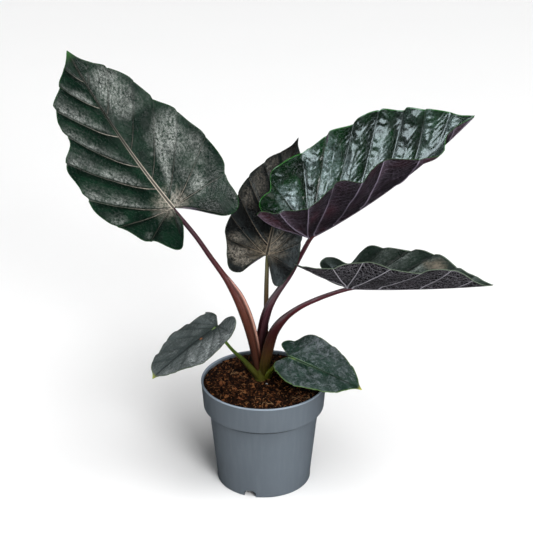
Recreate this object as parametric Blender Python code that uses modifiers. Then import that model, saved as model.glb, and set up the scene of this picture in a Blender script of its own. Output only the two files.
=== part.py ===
"""Potted african mask plant, 0.40 m tall: pot, growing medium, one fused crown with six stalks, six waved blades.
Metres, +Z up. The numbers of the leaves are in millimetres about the pot's axis."""
import math

import bmesh
import bpy
import numpy as np
from mathutils import Matrix, Vector, noise

MM = 0.001

# The pot's axis, so that the origin lies under the middle of the whole plant
POT_X = -0.0080
POT_Y = -0.0390

# Pot
RIM_R = 60.0 * MM
RIM_Z = 105.0 * MM
LIP_T = 2.0 * MM
BAND_FOOT_R = 57.6 * MM
BAND_Z = 78.0 * MM
BODY_TOP_R = 52.2 * MM
FOOT_R = 45.2 * MM
WALL = 1.4 * MM
FLOOR_Z = 7.2 * MM
FOOT_T = 2.6 * MM
NOTCH_W = 11.6 * MM
NOTCH_H = 6.4 * MM
NOTCH_DEPTH = 12.0 * MM
NOTCH_TURN = math.radians(-17.0)
NOTCHES = 3
DRAIN_R = 4.5 * MM
DRAIN_RING_R = 27.0 * MM
DRAINS = 5

# Growing medium
GAP = 0.3 * MM
SOIL_Z = 102.6 * MM
SOIL_LUMP = 1.3 * MM
COARSE_LUMPS = 95.0
FINE_LUMPS = 210.0
SOIL_DIP = 4.6 * MM
SOIL_DIP_REACH = 24.0

# Crown
CROWN_X = -2.0 * MM
CROWN_Y = 14.5 * MM
CROWN_R = 9.4 * MM
CROWN_FOOT_Z = 58.0 * MM
# Radius and height in millimetres, from the tip among the sheaths down to the buried foot
CROWN_PROFILE = (
    (0.0, 118.0), (4.5, 118.0), (7.2, 113.0), (8.6, 107.0), (9.3, 101.0), (9.4, 92.0), (9.0, 78.0), (7.5, 66.0),
    (4.5, 58.0), (0.0, 58.0))

# Blades
BLADE_T = 0.8 * MM
RIB_W = 4.5
LOBE_ROWS = 11
ARM_ROWS = 25
ACROSS = 6
CUP = 0.3
RIPPLE_ENDS = 12.0
LOBE_START = 0.93
SEAT_AHEAD = 1.5
MARGIN_STEPS = 400
CURVE_STEPS = 600

# Half a flat blade from the sinus round the lobe to the tip. Along: shares of the lobe's length where
# negative, of the blade's length where positive. Across: shares of the half width.
OUTLINE = (
    (0.00, 0.00), (-0.50, 0.24), (-0.92, 0.42), (-1.00, 0.60), (-0.82, 0.79), (-0.35, 0.92), (0.12, 0.985),
    (0.30, 0.99), (0.47, 0.90), (0.63, 0.72), (0.76, 0.53), (0.86, 0.30), (0.93, 0.11), (1.00, 0.00))

# Each blade: how thick its rib is and how far under it the stalk ends, where its midrib starts and ends, how it
# is rolled about that line and how the midrib bends off it. Then for the left and the right half: its width, its
# lobe, the lobe's dip in degrees, the fold in degrees at the lobe, middle and tip, swell notes in the plane of
# the blade, even along the margin from the sinus to the tip, and the ripple out of the plane: how many waves,
# how high, and where in a wave it starts. Lift notes stand where the ripple is uneven.
LEAVES = {
    "a": dict(
        colour=(0.022, 0.052, 0.03), roughness=0.33, rib=2.2, seat=3.8,
        base=(-84, 28, 270), tip=(-182, 84, 404), roll=-32, arch=-4, bow=-3,
        half=(68, 62), lobe=(33, 38), dip=(-6, 8), rise=((44, 10, 4), (8, 8, 6)),
        swell=((8, 5, -10, -11, -4, -1, -3, 2, -7, 1, 3, 2), (-4, -5, 5, 0, 5, 6, 1, 0, -4, 0, 1, 0)),
        ripple=((6, 2, 0), (5, 1.5, 0.5))),
    "b": dict(
        colour=(0.03, 0.04, 0.026), roughness=0.38, rib=2.2, seat=3.4,
        base=(3, 38, 218), tip=(34, 138, 300), roll=0, arch=5, bow=0,
        half=(42, 32), lobe=(23, 30), dip=(0, 5), rise=((8, 8, 8), (8, 8, 8)),
        swell=((-3, 0, -1.5, 3, 1, 2, 3, -1, -2), (2, -1, 2, 0, 0, -2, -3, -3)),
        ripple=((4, 1.5, 0), (4, 1.5, 0.5))),
    "c": dict(
        colour=(0.02, 0.06, 0.035), roughness=0.3, rib=2.2, seat=3.35,
        base=(42, 28, 241), tip=(186, -2, 370), roll=2, arch=-8, bow=-2,
        half=(82, 72), lobe=(38, 27), dip=(-15, -46), rise=((50, 54, 52), (40, 40, 0)),
        swell=((0, -2, -15, -4, -1, -5, -2, 0, 6, 4, 4, 4), (0, 0, 0, 0, 0, 0, 0, 0, 0, 0, -3, -8)),
        lift=((), (3, 2, 0, 2, -8, -9, 2, -3, 10, 2, -6, 5)),
        ripple=((6, 2, 0.2), (0, 0, 0))),
    "d": dict(
        colour=(0.035, 0.05, 0.04), roughness=0.42, rib=2.0, seat=3.4,
        base=(77, -12, 208), tip=(207, -38, 222), roll=0, arch=-2, bow=0,
        half=(42, 42), lobe=(30, 46), dip=(-9, -6), rise=((18, 34, 36), (52, 51, 53)),
        swell=((0, -1, -7, -12, 4, 0, 1, 3, 2, -2, 0), ()),
        ripple=((4, 1.5, 0.3), (3, 4.5, 0.75))),
    "e": dict(
        colour=(0.085, 0.12, 0.095), roughness=0.55, rib=1.4, seat=1.8,
        base=(-43, -13, 168), tip=(-103, -44, 129), roll=0, arch=2, bow=0,
        half=(33, 32), lobe=(11, 8), dip=(-10, 0), rise=((34, 0, 2), (8, 7, 10)),
        swell=((3.5, 2, 3, 1, 0.5, 0, 0), (-1, -6.5, -5.5, -4.5, -0.5, 2, 4.5)),
        ripple=((3, 1, 0), (3, 1, 0.5))),
    "f": dict(
        colour=(0.055, 0.1, 0.065), roughness=0.5, rib=1.4, seat=2.3,
        base=(24, -12, 135), tip=(91, -45, 118), roll=14, arch=1, bow=0,
        half=(31, 31), lobe=(13, 5), dip=(0, 0), rise=((-3, 6, 6), (3, 3, 3)),
        swell=((3, -6, 4, 2.5, 2, 0.5, 1.5), (3, -3, 0, 1, 1, 1, 0)),
        ripple=((3, 1, 0), (3, 1, 0.5))),
}

# Each stalk: the way it leans, then stations from the crown up to its blade. A station is x, y, z, its outer
# half depth, its inner half depth (the sheath's wings) and its half width. The last one is seated by the blade.
STALKS = {
    "a": ((-1, 0.1), (
        (-4, 14, 98, 3.5, 3.5, 5), (-6, 14, 112, 4.5, 5.0, 7), (-9, 15, 130, 4.5, 5.5, 6.5),
        (-13, 16, 147, 4.5, 6.5, 6), (-19, 17, 165, 4.0, 7.5, 5.5), (-26, 19, 182, 3.5, 7.0, 4.5),
        (-33, 20, 196, 3.0, 4.5, 3.2), (-39, 21, 206, 2.7, 2.8, 2.7), (-51, 22, 224, 2.4, 2.4, 2.4),
        (-64, 23, 244, 2.2, 2.2, 2.2), None)),
    "b": ((0.1, 1), (
        (-1, 18, 98, 3.0, 3.0, 3.0), (0, 20, 120, 2.8, 2.8, 2.8), (2, 23, 150, 2.5, 2.5, 2.5),
        (2.5, 28, 185, 2.2, 2.2, 2.2), (3, 33, 202, 2.0, 2.0, 2.0), None)),
    "c": ((1, 0.3), (
        (-3, 17, 98, 3.5, 3.5, 4.0), (-4, 18, 115, 4.5, 4.0, 5.5), (-3, 20, 138, 4.5, 4.0, 5.5),
        (1, 22, 158, 4.5, 4.5, 5.0), (6, 24, 172, 3.8, 4.0, 4.2), (14, 28, 184, 2.8, 3.2, 3.2),
        (25, 33, 199, 2.5, 2.5, 2.5), (35, 35, 218, 2.2, 2.2, 2.2), None)),
    "d": ((1, -0.3), (
        (0, 12, 98, 3.5, 3.5, 5.0), (1, 11, 114, 5.0, 5.0, 7.0), (4, 9, 132, 5.5, 5.0, 6.5),
        (9, 7, 149, 4.5, 5.0, 5.5), (16, 4, 162, 3.5, 4.5, 4.5), (24, 2, 172, 2.8, 3.2, 3.4),
        (36, -2, 183, 2.4, 2.4, 2.4), (52, -6, 193, 2.2, 2.2, 2.2), (66, -11, 201, 2.0, 2.0, 2.0), None)),
    "e": ((-0.9, -0.4), (
        (-4, 12, 97, 3.0, 3.0, 4.0), (-8, 9, 105, 3.2, 3.4, 4.8), (-14, 7, 114, 2.8, 3.0, 4.2),
        (-20, 3, 124, 2.2, 2.2, 2.6), (-29, -2, 136, 1.6, 1.6, 1.6), (-37, -9, 151, 1.5, 1.5, 1.5), None)),
    "f": ((0.8, -0.6), (
        (2, 11, 97, 2.4, 2.4, 3.0), (4, 8, 105, 2.6, 2.6, 3.6), (9, 5, 113, 2.2, 2.2, 3.0),
        (14, 0, 122, 1.7, 1.7, 2.0), None)),
}
RING = 10
STALK_STEP = 7.0 * MM
STALK_END = (1.3, 0.8, 1.5)


def clear_scene():
    for ob in list(bpy.data.objects):
        bpy.data.objects.remove(ob, do_unlink=True)


def collection(name):
    col = bpy.data.collections.new(name)
    bpy.context.scene.collection.children.link(col)
    return col


def material(name, rgb, roughness):
    mat = bpy.data.materials.new(name)
    mat.use_nodes = True
    shader = mat.node_tree.nodes["Principled BSDF"]
    shader.inputs["Base Color"].default_value = (*rgb, 1.0)
    shader.inputs["Roughness"].default_value = roughness
    shader.inputs["Metallic"].default_value = 0.0
    mat.diffuse_color = (*rgb, 1.0)
    return mat


def new_object(name, verts, faces, col, mat=None):
    mesh = bpy.data.meshes.new(name)
    mesh.from_pydata([tuple(v) for v in verts], [], faces)
    mesh.update()
    ob = bpy.data.objects.new(name, mesh)
    col.objects.link(ob)
    if mat:
        mesh.materials.append(mat)
    return ob


def weld(ob, distance=0.00005):
    bm = bmesh.new()
    bm.from_mesh(ob.data)
    bmesh.ops.remove_doubles(bm, verts=bm.verts, dist=distance)
    bmesh.ops.recalc_face_normals(bm, faces=bm.faces)
    bm.to_mesh(ob.data)
    bm.free()


def apply_modifiers(ob):
    depsgraph = bpy.context.evaluated_depsgraph_get()
    mesh = bpy.data.meshes.new_from_object(ob.evaluated_get(depsgraph))
    ob.modifiers.clear()
    ob.data = mesh


def smooth(ob, angle=35.0):
    for face in ob.data.polygons:
        face.use_smooth = True
    ob.data.set_sharp_from_angle(angle=math.radians(angle))


def lathe(name, profile, col, mat, steps, loose_axis=False):
    """A closed body turned round the pot's axis from a profile that runs down its outer side."""
    verts = [(r, 0.0, z) for r, z in profile]
    edges = [(i, i + 1) for i in range(len(verts) - 1)]
    if not loose_axis:
        edges.append((len(verts) - 1, 0))
    mesh = bpy.data.meshes.new(name)
    mesh.from_pydata(verts, edges, [])
    ob = bpy.data.objects.new(name, mesh)
    col.objects.link(ob)
    mesh.materials.append(mat)
    screw = ob.modifiers.new("turn", "SCREW")
    screw.steps = steps
    screw.render_steps = steps
    screw.use_merge_vertices = True
    screw.merge_threshold = 0.00001
    screw.use_normal_calculate = True
    ob.location = (POT_X, POT_Y, 0.0)
    return ob


def cut(ob, cutter):
    boolean = ob.modifiers.new("cut " + cutter.name, "BOOLEAN")
    boolean.operation = "DIFFERENCE"
    boolean.solver = "EXACT"
    boolean.object = cutter
    cutter.hide_render = True
    cutter.display_type = "WIRE"


def box(name, size, col):
    bm = bmesh.new()
    bmesh.ops.create_cube(bm, size=1.0)
    bmesh.ops.scale(bm, vec=size, verts=bm.verts)
    mesh = bpy.data.meshes.new(name)
    bm.to_mesh(mesh)
    bm.free()
    ob = bpy.data.objects.new(name, mesh)
    col.objects.link(ob)
    return ob


def cylinder(name, radius, height, col, sides=32):
    bm = bmesh.new()
    bmesh.ops.create_cone(bm, cap_ends=True, segments=sides, radius1=radius, radius2=radius, depth=height)
    mesh = bpy.data.meshes.new(name)
    bm.to_mesh(mesh)
    bm.free()
    ob = bpy.data.objects.new(name, mesh)
    col.objects.link(ob)
    return ob


def pot_profile():
    """Lip, band, step, body, foot ring, floor and inner wall, down the outer side and back up inside."""
    lip = [(RIM_R - LIP_T, RIM_Z - 0.8 * MM), (RIM_R - LIP_T + 0.5 * MM, RIM_Z), (RIM_R - 0.6 * MM, RIM_Z),
           (RIM_R, RIM_Z - 0.6 * MM)]
    band = [(BAND_FOOT_R + 0.1 * MM, BAND_Z + 0.8 * MM), (BAND_FOOT_R - 0.6 * MM, BAND_Z),
            (BODY_TOP_R + 0.6 * MM, BAND_Z - 0.2 * MM), (BODY_TOP_R, BAND_Z - 0.8 * MM)]
    foot = [(FOOT_R, 0.6 * MM), (FOOT_R - 0.5 * MM, 0.0), (FOOT_R - FOOT_T, 0.0), (FOOT_R - FOOT_T, FLOOR_Z)]
    inner = [(0.0, FLOOR_Z), (0.0, FLOOR_Z + WALL), (FOOT_R - WALL, FLOOR_Z + WALL),
             (BODY_TOP_R - WALL, BAND_Z - 1.0 * MM), (BAND_FOOT_R - WALL, BAND_Z + 2.2 * MM)]
    return lip + band + foot + inner


def build_pot(col, cutters, mat):
    pot = lathe("pot", pot_profile(), col, mat, 72)
    for i in range(NOTCHES):
        turn = NOTCH_TURN + math.radians(360.0 / NOTCHES) * i - math.pi / 2
        notch = box(f"notch_{i + 1}", (NOTCH_DEPTH, NOTCH_W, 2 * NOTCH_H), cutters)
        radius = FOOT_R - 1.0 * MM
        notch.location = (POT_X + radius * math.cos(turn), POT_Y + radius * math.sin(turn), 0.0)
        notch.rotation_euler = (0.0, 0.0, turn)
        cut(pot, notch)
    for i in range(DRAINS):
        turn = math.radians(36.0 + 72.0 * i)
        drain = cylinder(f"drain_{i + 1}", DRAIN_R, 10.0 * MM, cutters, 20)
        x = POT_X + DRAIN_RING_R * math.cos(turn)
        y = POT_Y + DRAIN_RING_R * math.sin(turn)
        drain.location = (x, y, FLOOR_Z)
        cut(pot, drain)
    smooth(pot)
    return pot


def soil_profile():
    """Top from the axis out, then down the wall with the gap all round."""
    low = FLOOR_Z + WALL + GAP
    top = [(r * MM, SOIL_Z) for r in (0, 5, 11, 17, 23, 29, 35, 41, 47, 52.5)]
    edge = [(BAND_FOOT_R - 0.1 * MM, SOIL_Z - 0.5 * MM), (BAND_FOOT_R - WALL - GAP, BAND_Z + 3.0 * MM),
            (BODY_TOP_R - WALL - GAP - 0.1 * MM, BAND_Z - 0.4 * MM), (FOOT_R - WALL - GAP + 0.05 * MM, low)]
    return top + edge + [(0.0, low)]


def build_soil(col, cutters, mat):
    soil = lathe("growing_medium", soil_profile(), col, mat, 36, loose_axis=True)
    apply_modifiers(soil)
    for vert in soil.data.vertices:
        if vert.co.z < SOIL_Z - 0.1 * MM:
            continue
        spot = Vector((vert.co.x, vert.co.y, 0.0))
        lump = noise.noise(spot * COARSE_LUMPS) + 0.6 * noise.noise(spot * FINE_LUMPS)
        away = (vert.co.xy - Vector((CROWN_X, CROWN_Y))).length / MM
        vert.co.z += SOIL_LUMP * lump - SOIL_DIP * math.exp(-(away / SOIL_DIP_REACH) ** 2)
    hole = cylinder("crown_hole", CROWN_R + GAP + 0.1 * MM, 60.0 * MM, cutters, 24)
    hole.location = (POT_X + CROWN_X, POT_Y + CROWN_Y, CROWN_FOOT_Z - GAP + 30.0 * MM)
    cut(soil, hole)
    smooth(soil, 50.0)
    return soil


def spline(points, count):
    """Evenly timed points on a smooth curve through the given ones."""
    pts = np.array(points, float)
    if pts.ndim == 1:
        pts = pts[:, None]
    last = len(pts) - 1
    time = np.linspace(0, last, count)
    i = np.minimum(time.astype(int), last - 1)
    u = (time - i)[:, None]
    p1 = pts[i]
    p2 = pts[i + 1]
    p0 = np.where((i > 0)[:, None], pts[np.maximum(i - 1, 0)], 2 * p1 - p2)
    p3 = np.where((i < last - 1)[:, None], pts[np.minimum(i + 2, last)], 2 * p2 - p1)
    cubic = 3 * p1 - p0 - 3 * p2 + p3
    return 0.5 * (2 * p1 + (p2 - p0) * u + (2 * p0 - 5 * p1 + 4 * p2 - p3) * u ** 2 + cubic * u ** 3)


def even(points, count):
    """The same curve in steps of equal length."""
    steps = np.linalg.norm(np.diff(points, axis=0), axis=1)
    run = np.concatenate(([0.0], np.cumsum(steps)))
    want = np.linspace(0, run[-1], count)
    return np.stack([np.interp(want, run, points[:, k]) for k in range(points.shape[1])], -1)


def turned(vector, axis, degrees):
    angle = math.radians(degrees)
    across = np.cross(axis, vector)
    return vector * math.cos(angle) + across * math.sin(angle) + axis * (axis @ vector) * (1 - math.cos(angle))


def midrib(leaf, count=60):
    """Run along the midrib, its points, and at each the way ahead, the way right and the way up."""
    base = np.array(leaf["base"], float)
    chord = np.array(leaf["tip"], float) - base
    ahead = chord / np.linalg.norm(chord)
    right = np.cross(ahead, (0.0, 0.0, 1.0))
    right /= np.linalg.norm(right)
    up = np.cross(right, ahead)
    s = np.linspace(0, 1, count)[:, None]
    hump = 4 * s * (1 - s)
    up_rolled = turned(up, ahead, leaf["roll"])
    right_rolled = np.cross(ahead, up_rolled)
    line = base + chord * s + hump * (up_rolled * leaf["arch"] + right_rolled * leaf["bow"])
    tangent = np.gradient(line, axis=0)
    tangent /= np.linalg.norm(tangent, axis=1)[:, None]
    steps = np.linalg.norm(np.diff(line, axis=0), axis=1)
    run = np.concatenate(([0.0], np.cumsum(steps)))
    rights = np.cross(tangent, up_rolled)
    rights /= np.linalg.norm(rights, axis=1)[:, None]
    return run, line, tangent, rights, np.cross(rights, tangent)


def flat_margin(length, half, lobe, count):
    out = np.array(OUTLINE)
    along = np.where(out[:, 0] < 0, out[:, 0] * lobe, out[:, 0] * length)
    return even(spline(np.stack([along, out[:, 1] * half], -1), CURVE_STEPS), count)


def vein_foot(along, length):
    """Where on the midrib the vein starts that ends on the margin at this place."""
    share = np.clip((along / length - 0.26) / 0.74, 0, 1)
    return length * share ** 1.5


def margin_lift(leaf, k, count):
    """How far the margin waves out of the blade, fading out at the sinus and the tip."""
    waves, height, start = leaf["ripple"][k]
    time = np.linspace(0, 1, count)
    fade = np.clip(RIPPLE_ENDS * time * (1 - time), 0, 1)
    notes = leaf.get("lift", ((), ()))[k]
    return height * np.sin(2 * math.pi * (waves * time + start)) * fade + spline((0, *notes, 0), count)[:, 0]


def half_margin(leaf, side, length, count=MARGIN_STEPS):
    """Times along the margin, its flat points, its veins' feet, and the notes at each time."""
    k = 0 if side < 0 else 1
    flat = flat_margin(length, leaf["half"][k], leaf["lobe"][k], count)
    foot = vein_foot(flat[:, 0], length)
    way = np.gradient(flat, axis=0)
    way /= np.linalg.norm(way, axis=1)[:, None]
    outward = np.stack([-way[:, 1], way[:, 0]], -1)
    swell = spline((0, *leaf["swell"][k], 0), count)
    rise = np.radians(spline(leaf["rise"][k], count)[:, 0])
    return flat + outward * swell, foot, margin_lift(leaf, k, count), rise


def row_times(leaf, length):
    """Times of the rows on the left and the right margin, so that both halves share the midrib's points."""
    times = {}
    feet = None
    for side in (1, -1):
        flat, foot, _, _ = half_margin(leaf, side, length)
        count = len(foot)
        first = np.argmin(flat[:count // 3, 0]) / (count - 1) * LOBE_START
        bend = np.argmax(foot > 0) / (count - 1)
        lobe = np.linspace(first, bend, LOBE_ROWS)
        time = np.linspace(0, 1, count)
        if feet is None:
            arm = bend + (1 - bend) * np.linspace(0, 1, ARM_ROWS + 1)[1:-1]
            feet = np.interp(arm, time, foot)
        else:
            start = int(np.argmax(foot > 0))
            arm = np.interp(feet, foot[start - 1:], time[start - 1:])
        times[side] = np.concatenate((lobe, arm))
    return times


def half_rows(leaf, side, frame, times):
    """Points of half a blade, one row for each vein, from the midrib out to the margin."""
    run, line, tangent, right, up = frame
    length = run[-1]
    k = 0 if side < 0 else 1
    flat, foot, lift, rise = half_margin(leaf, side, length)
    time = np.linspace(0, 1, len(foot))
    edge = np.stack([np.interp(times, time, flat[:, c]) for c in (0, 1)], -1)
    foot, lift, rise = (np.interp(times, time, v) for v in (foot, lift, rise))
    v = np.linspace(0, 1, ACROSS + 1)
    along = foot[:, None] + (edge[:, 0] - foot)[:, None] * v ** 1.25
    across = edge[:, 1][:, None] * v
    angle = rise[:, None] * (1 - CUP + CUP * v)
    reach = np.clip(along, 0, length)
    spot, way, top = (
        np.stack([np.interp(reach, run, field[:, c]) for c in range(3)], -1) for field in (line, right, up))
    dip = math.radians(leaf["dip"][k])
    back = np.minimum(along, 0)[..., None]
    spot = spot + back * (math.cos(dip) * tangent[0] + math.sin(dip) * up[0])
    wave = lift[:, None] * v ** 2
    aside = side * (across * np.cos(angle) - wave * np.sin(angle))
    rise_by = across * np.sin(angle) + wave * np.cos(angle)
    points = spot + aside[..., None] * way + rise_by[..., None] * top
    return points, along, across


def rib_weight(along, across, length):
    """1 on the midrib, 0 on the thin blade; the rib runs out towards the tip."""
    off = np.hypot(np.minimum(along, 0), across)
    taper = np.clip(1.15 - along / length, 0, 1)
    return np.clip(1 - off / RIB_W, 0, 1) * taper


def build_blade(key, leaf, col, mat):
    frame = midrib(leaf)
    length = frame[0][-1]
    times = row_times(leaf, length)
    verts = []
    weights = []
    faces = []
    for side in (-1, 1):
        points, along, across = half_rows(leaf, side, frame, times[side])
        first = len(verts)
        rows, cols = along.shape
        verts.extend(points.reshape(-1, 3) * MM)
        weights.extend(rib_weight(along, across, length).reshape(-1))
        for i in range(rows - 1):
            for j in range(cols - 1):
                a = first + i * cols + j
                tri = ((a, a + 1, a + cols + 1), (a, a + cols + 1, a + cols))
                faces.extend(tri if side > 0 else [t[::-1] for t in tri])
        verts.append(frame[1][-1] * MM)
        weights.append(0.0)
        tip = len(verts) - 1
        for j in range(cols - 1):
            a = first + (rows - 1) * cols + j
            faces.append((a, a + 1, tip) if side > 0 else (tip, a + 1, a))
    ob = new_object(f"blade_{key}", verts, faces, col, mat)
    group = ob.vertex_groups.new(name="rib")
    for i, weight in enumerate(weights):
        group.add([i], float(weight), "REPLACE")
    bm = bmesh.new()
    bm.from_mesh(ob.data)
    bmesh.ops.remove_doubles(bm, verts=bm.verts, dist=0.0001)
    bm.to_mesh(ob.data)
    bm.free()
    thick = ob.modifiers.new("thickness", "SOLIDIFY")
    thick.thickness = leaf["rib"] * MM
    thick.offset = -1.0
    thick.vertex_group = "rib"
    thick.thickness_vertex_group = BLADE_T / thick.thickness
    ob.location = (POT_X, POT_Y, 0.0)
    for face in ob.data.polygons:
        face.use_smooth = True
    return ob


def seat(leaf):
    """The stalk's end under the blade, one gap below the rib's thick start."""
    _, line, tangent, _, up = midrib(leaf)
    return line[0] + tangent[0] * SEAT_AHEAD - up[0] * leaf["seat"]


def stalk_rings(stations, lean):
    """Centres and the three half sizes of the rings, evenly spaced along the stalk."""
    curve = spline(stations, CURVE_STEPS)
    length = np.linalg.norm(np.diff(curve[:, :3], axis=0), axis=1).sum() * MM
    curve = even(curve, max(6, round(length / STALK_STEP)))
    ahead = np.gradient(curve[:, :3], axis=0)
    ahead /= np.linalg.norm(ahead, axis=1)[:, None]
    lean = np.array((*lean, 0.0))
    lean /= np.linalg.norm(lean)
    inner = -lean - (ahead @ -lean)[:, None] * ahead
    inner /= np.linalg.norm(inner, axis=1)[:, None]
    return curve, inner, np.cross(ahead, inner)


def build_stalk(key, col):
    lean, stations = STALKS[key]
    ending = (*seat(LEAVES[key]), *STALK_END)
    curve, inner, wide = stalk_rings([*stations[:-1], ending], lean)
    verts = []
    faces = []
    for spot, inward, sideways in zip(curve, inner, wide):
        out_r, in_r, half = spot[3:]
        for k in range(RING):
            angle = 2 * math.pi * k / RING
            depth = in_r if math.cos(angle) > 0 else out_r
            point = spot[:3] + inward * depth * math.cos(angle) + sideways * half * math.sin(angle)
            verts.append(point * MM)
    rings = len(curve)
    for i in range(rings - 1):
        for k in range(RING):
            a = i * RING + k
            b = i * RING + (k + 1) % RING
            faces.append((a, b, b + RING, a + RING))
    faces.append(tuple(reversed(range(RING))))
    faces.append(tuple(range((rings - 1) * RING, rings * RING)))
    ob = new_object(f"stalk_{key}", verts, faces, col)
    weld(ob)
    return ob


def build_stalks(col, mat):
    """The crown and its six stalks grew as one: one union of all of them."""
    parts = collection("stalk_parts")
    for key in STALKS:
        build_stalk(key, parts)
    profile = [(r * MM, z * MM) for r, z in CROWN_PROFILE]
    crown = lathe("crown_and_stalks", profile, col, mat, 20, loose_axis=True)
    apply_modifiers(crown)
    crown.data.transform(Matrix.Translation((CROWN_X, CROWN_Y, 0.0)))
    crown.location = (0.0, 0.0, 0.0)
    union = crown.modifiers.new("grown together", "BOOLEAN")
    union.operation = "UNION"
    union.operand_type = "COLLECTION"
    union.solver = "EXACT"
    union.collection = parts
    apply_modifiers(crown)
    for ob in list(parts.objects):
        bpy.data.objects.remove(ob, do_unlink=True)
    bpy.data.collections.remove(parts)
    crown.location = (POT_X, POT_Y, 0.0)
    smooth(crown)
    return crown


def main():
    clear_scene()
    col = collection("african_mask_plant_in_pot")
    cutters = collection("cutters")
    pot_mat = material("slate_blue_plastic", (0.155, 0.190, 0.225), 0.50)
    soil_mat = material("coir_growing_medium", (0.060, 0.032, 0.018), 0.95)
    stalk_mat = material("purple_stalk", (0.095, 0.035, 0.035), 0.45)
    build_pot(col, cutters, pot_mat)
    build_soil(col, cutters, soil_mat)
    build_stalks(col, stalk_mat)
    for key, leaf in LEAVES.items():
        build_blade(key, leaf, col, material(f"leaf_{key}", leaf["colour"], leaf["roughness"]))


main()
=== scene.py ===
"""Looks of the potted african mask plant: fine blades, stalks, growing medium and pot.
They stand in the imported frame, in metres, +Z up. The numbers of the leaves, the stalks and the pot are in
millimetres about the pot's axis."""

import math
import random

import bmesh
import bpy
import numpy as np
from mathutils import Matrix, Vector, noise


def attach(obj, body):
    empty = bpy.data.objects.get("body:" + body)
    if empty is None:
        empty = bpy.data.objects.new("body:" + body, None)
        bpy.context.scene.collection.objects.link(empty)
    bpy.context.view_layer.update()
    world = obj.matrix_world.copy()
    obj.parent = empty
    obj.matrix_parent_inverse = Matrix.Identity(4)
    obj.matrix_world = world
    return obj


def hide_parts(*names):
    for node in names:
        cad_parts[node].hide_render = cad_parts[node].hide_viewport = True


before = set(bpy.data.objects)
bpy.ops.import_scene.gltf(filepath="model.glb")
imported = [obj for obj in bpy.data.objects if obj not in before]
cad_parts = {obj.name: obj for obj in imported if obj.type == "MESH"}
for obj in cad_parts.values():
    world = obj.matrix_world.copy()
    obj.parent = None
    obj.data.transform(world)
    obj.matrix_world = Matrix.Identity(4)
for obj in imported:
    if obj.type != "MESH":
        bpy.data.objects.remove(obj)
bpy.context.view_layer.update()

MM = 0.001
POT_X = -0.0080
POT_Y = -0.0390
AXIS = Vector((POT_X, POT_Y, 0.0))

# Camera, fitted to the pot's ellipses
VIEW_PITCH = math.radians(24.35)
VIEW_DISTANCE = 1.4
VIEW_TARGET = Vector((0.00264 + POT_X, POT_Y, 0.2225))
VIEW_FOCAL_PX = 1515.0
PHOTO_PX = 533.0
SENSOR = 36.0

# Pot
RIM_R = 60.0
RIM_Z = 105.0
LIP_T = 2.0
BAND_FOOT_R = 57.6
BAND_Z = 78.0
BODY_TOP_R = 52.2
FOOT_R = 45.2
WALL = 1.4
FLOOR_Z = 7.2
FOOT_T = 2.6
NOTCH_W = 11.6
NOTCH_H = 6.4
NOTCH_DEPTH = 12.0
NOTCH_ROUND = 1.6
NOTCH_TURN = math.radians(-17.0)
NOTCHES = 3
DRAIN_R = 4.5
DRAIN_RING_R = 27.0
DRAINS = 5
POT_STEPS = 180
POT_SHARP = math.radians(38)

# Growing medium and crown
SOIL_Z = 102.6
SOIL_DIP = 4.6
SOIL_DIP_REACH = 24.0
SOIL_RINGS = 74
SOIL_TURNS = 380
CROWN_X = -2.0
CROWN_Y = 14.5
CROWN_PROFILE = (
    (0.0, 118.0), (4.5, 118.0), (7.2, 113.0), (8.6, 107.0), (9.3, 101.0), (9.4, 92.0),
    (9.0, 78.0), (7.5, 66.0), (4.5, 58.0), (0.0, 58.0))
CROWN_GREEN = np.array((0.100, 0.105, 0.012))
CROWN_BROWN = np.array((0.022, 0.010, 0.005))

# Crumbs, bark, fibres and perlite that lie on the medium
CRUMBS = 3200
LUMPS = 50
FIBRES = 420
FIBRE_BENDS = 9
FIBRE_ROWS = 12
FIBRE_SIDES = 5
FIBRE_REACH = 56.0
LITTER_R = 55.5
CRUMB_TONES = (
    (0.002, 0.001, 0.0007), (0.002, 0.001, 0.0007), (0.004, 0.002, 0.0013), (0.010, 0.004, 0.002),
    (0.026, 0.009, 0.004), (0.085, 0.030, 0.011), (0.25, 0.100, 0.038))
BARK = ((-41, -7, 3.4), (-27, -14, 2.0), (-22, -36, 2.8), (14, -44, 1.8))
BARK_TONE = (0.24, 0.085, 0.035)
FIBRE_TONES = ((0.24, 0.095, 0.038), (0.10, 0.038, 0.014), (0.03, 0.012, 0.005), (0.36, 0.18, 0.08))
PALE_FIBRES = ((3, -48), (8, -46), (36, -32), (40, -28), (33, -36), (-30, 14), (-22, 16), (-12, 10))
PALE_FIBRE_TONE = (0.42, 0.24, 0.12)
FIBRES_A_SPOT = 3
PERLITE = ((3, -3), (31, 33), (38, 8))
PERLITE_TONE = (0.75, 0.74, 0.70)

# Blades
BLADE_T = 0.7
MIDRIB_POINTS = 60
MARGIN_CURVE = 600
MARGIN_POINTS = 800
RIM_OUT = 0.22
CUP = 0.3
RIPPLE_ENDS = 12.0
FEET_START = 0.26
PUCKER_GAP = 7.5
BRANCH_GAP = 6.2
HEM_WAVES = 13
NOISE_APART = 50.0
OUTLINE = np.array((
    (0.00, 0.00), (-0.50, 0.24), (-0.92, 0.42), (-1.00, 0.60), (-0.82, 0.79), (-0.35, 0.92), (0.12, 0.985),
    (0.30, 0.99), (0.47, 0.90), (0.63, 0.72), (0.76, 0.53), (0.86, 0.30), (0.93, 0.11), (1.00, 0.00)))

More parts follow.
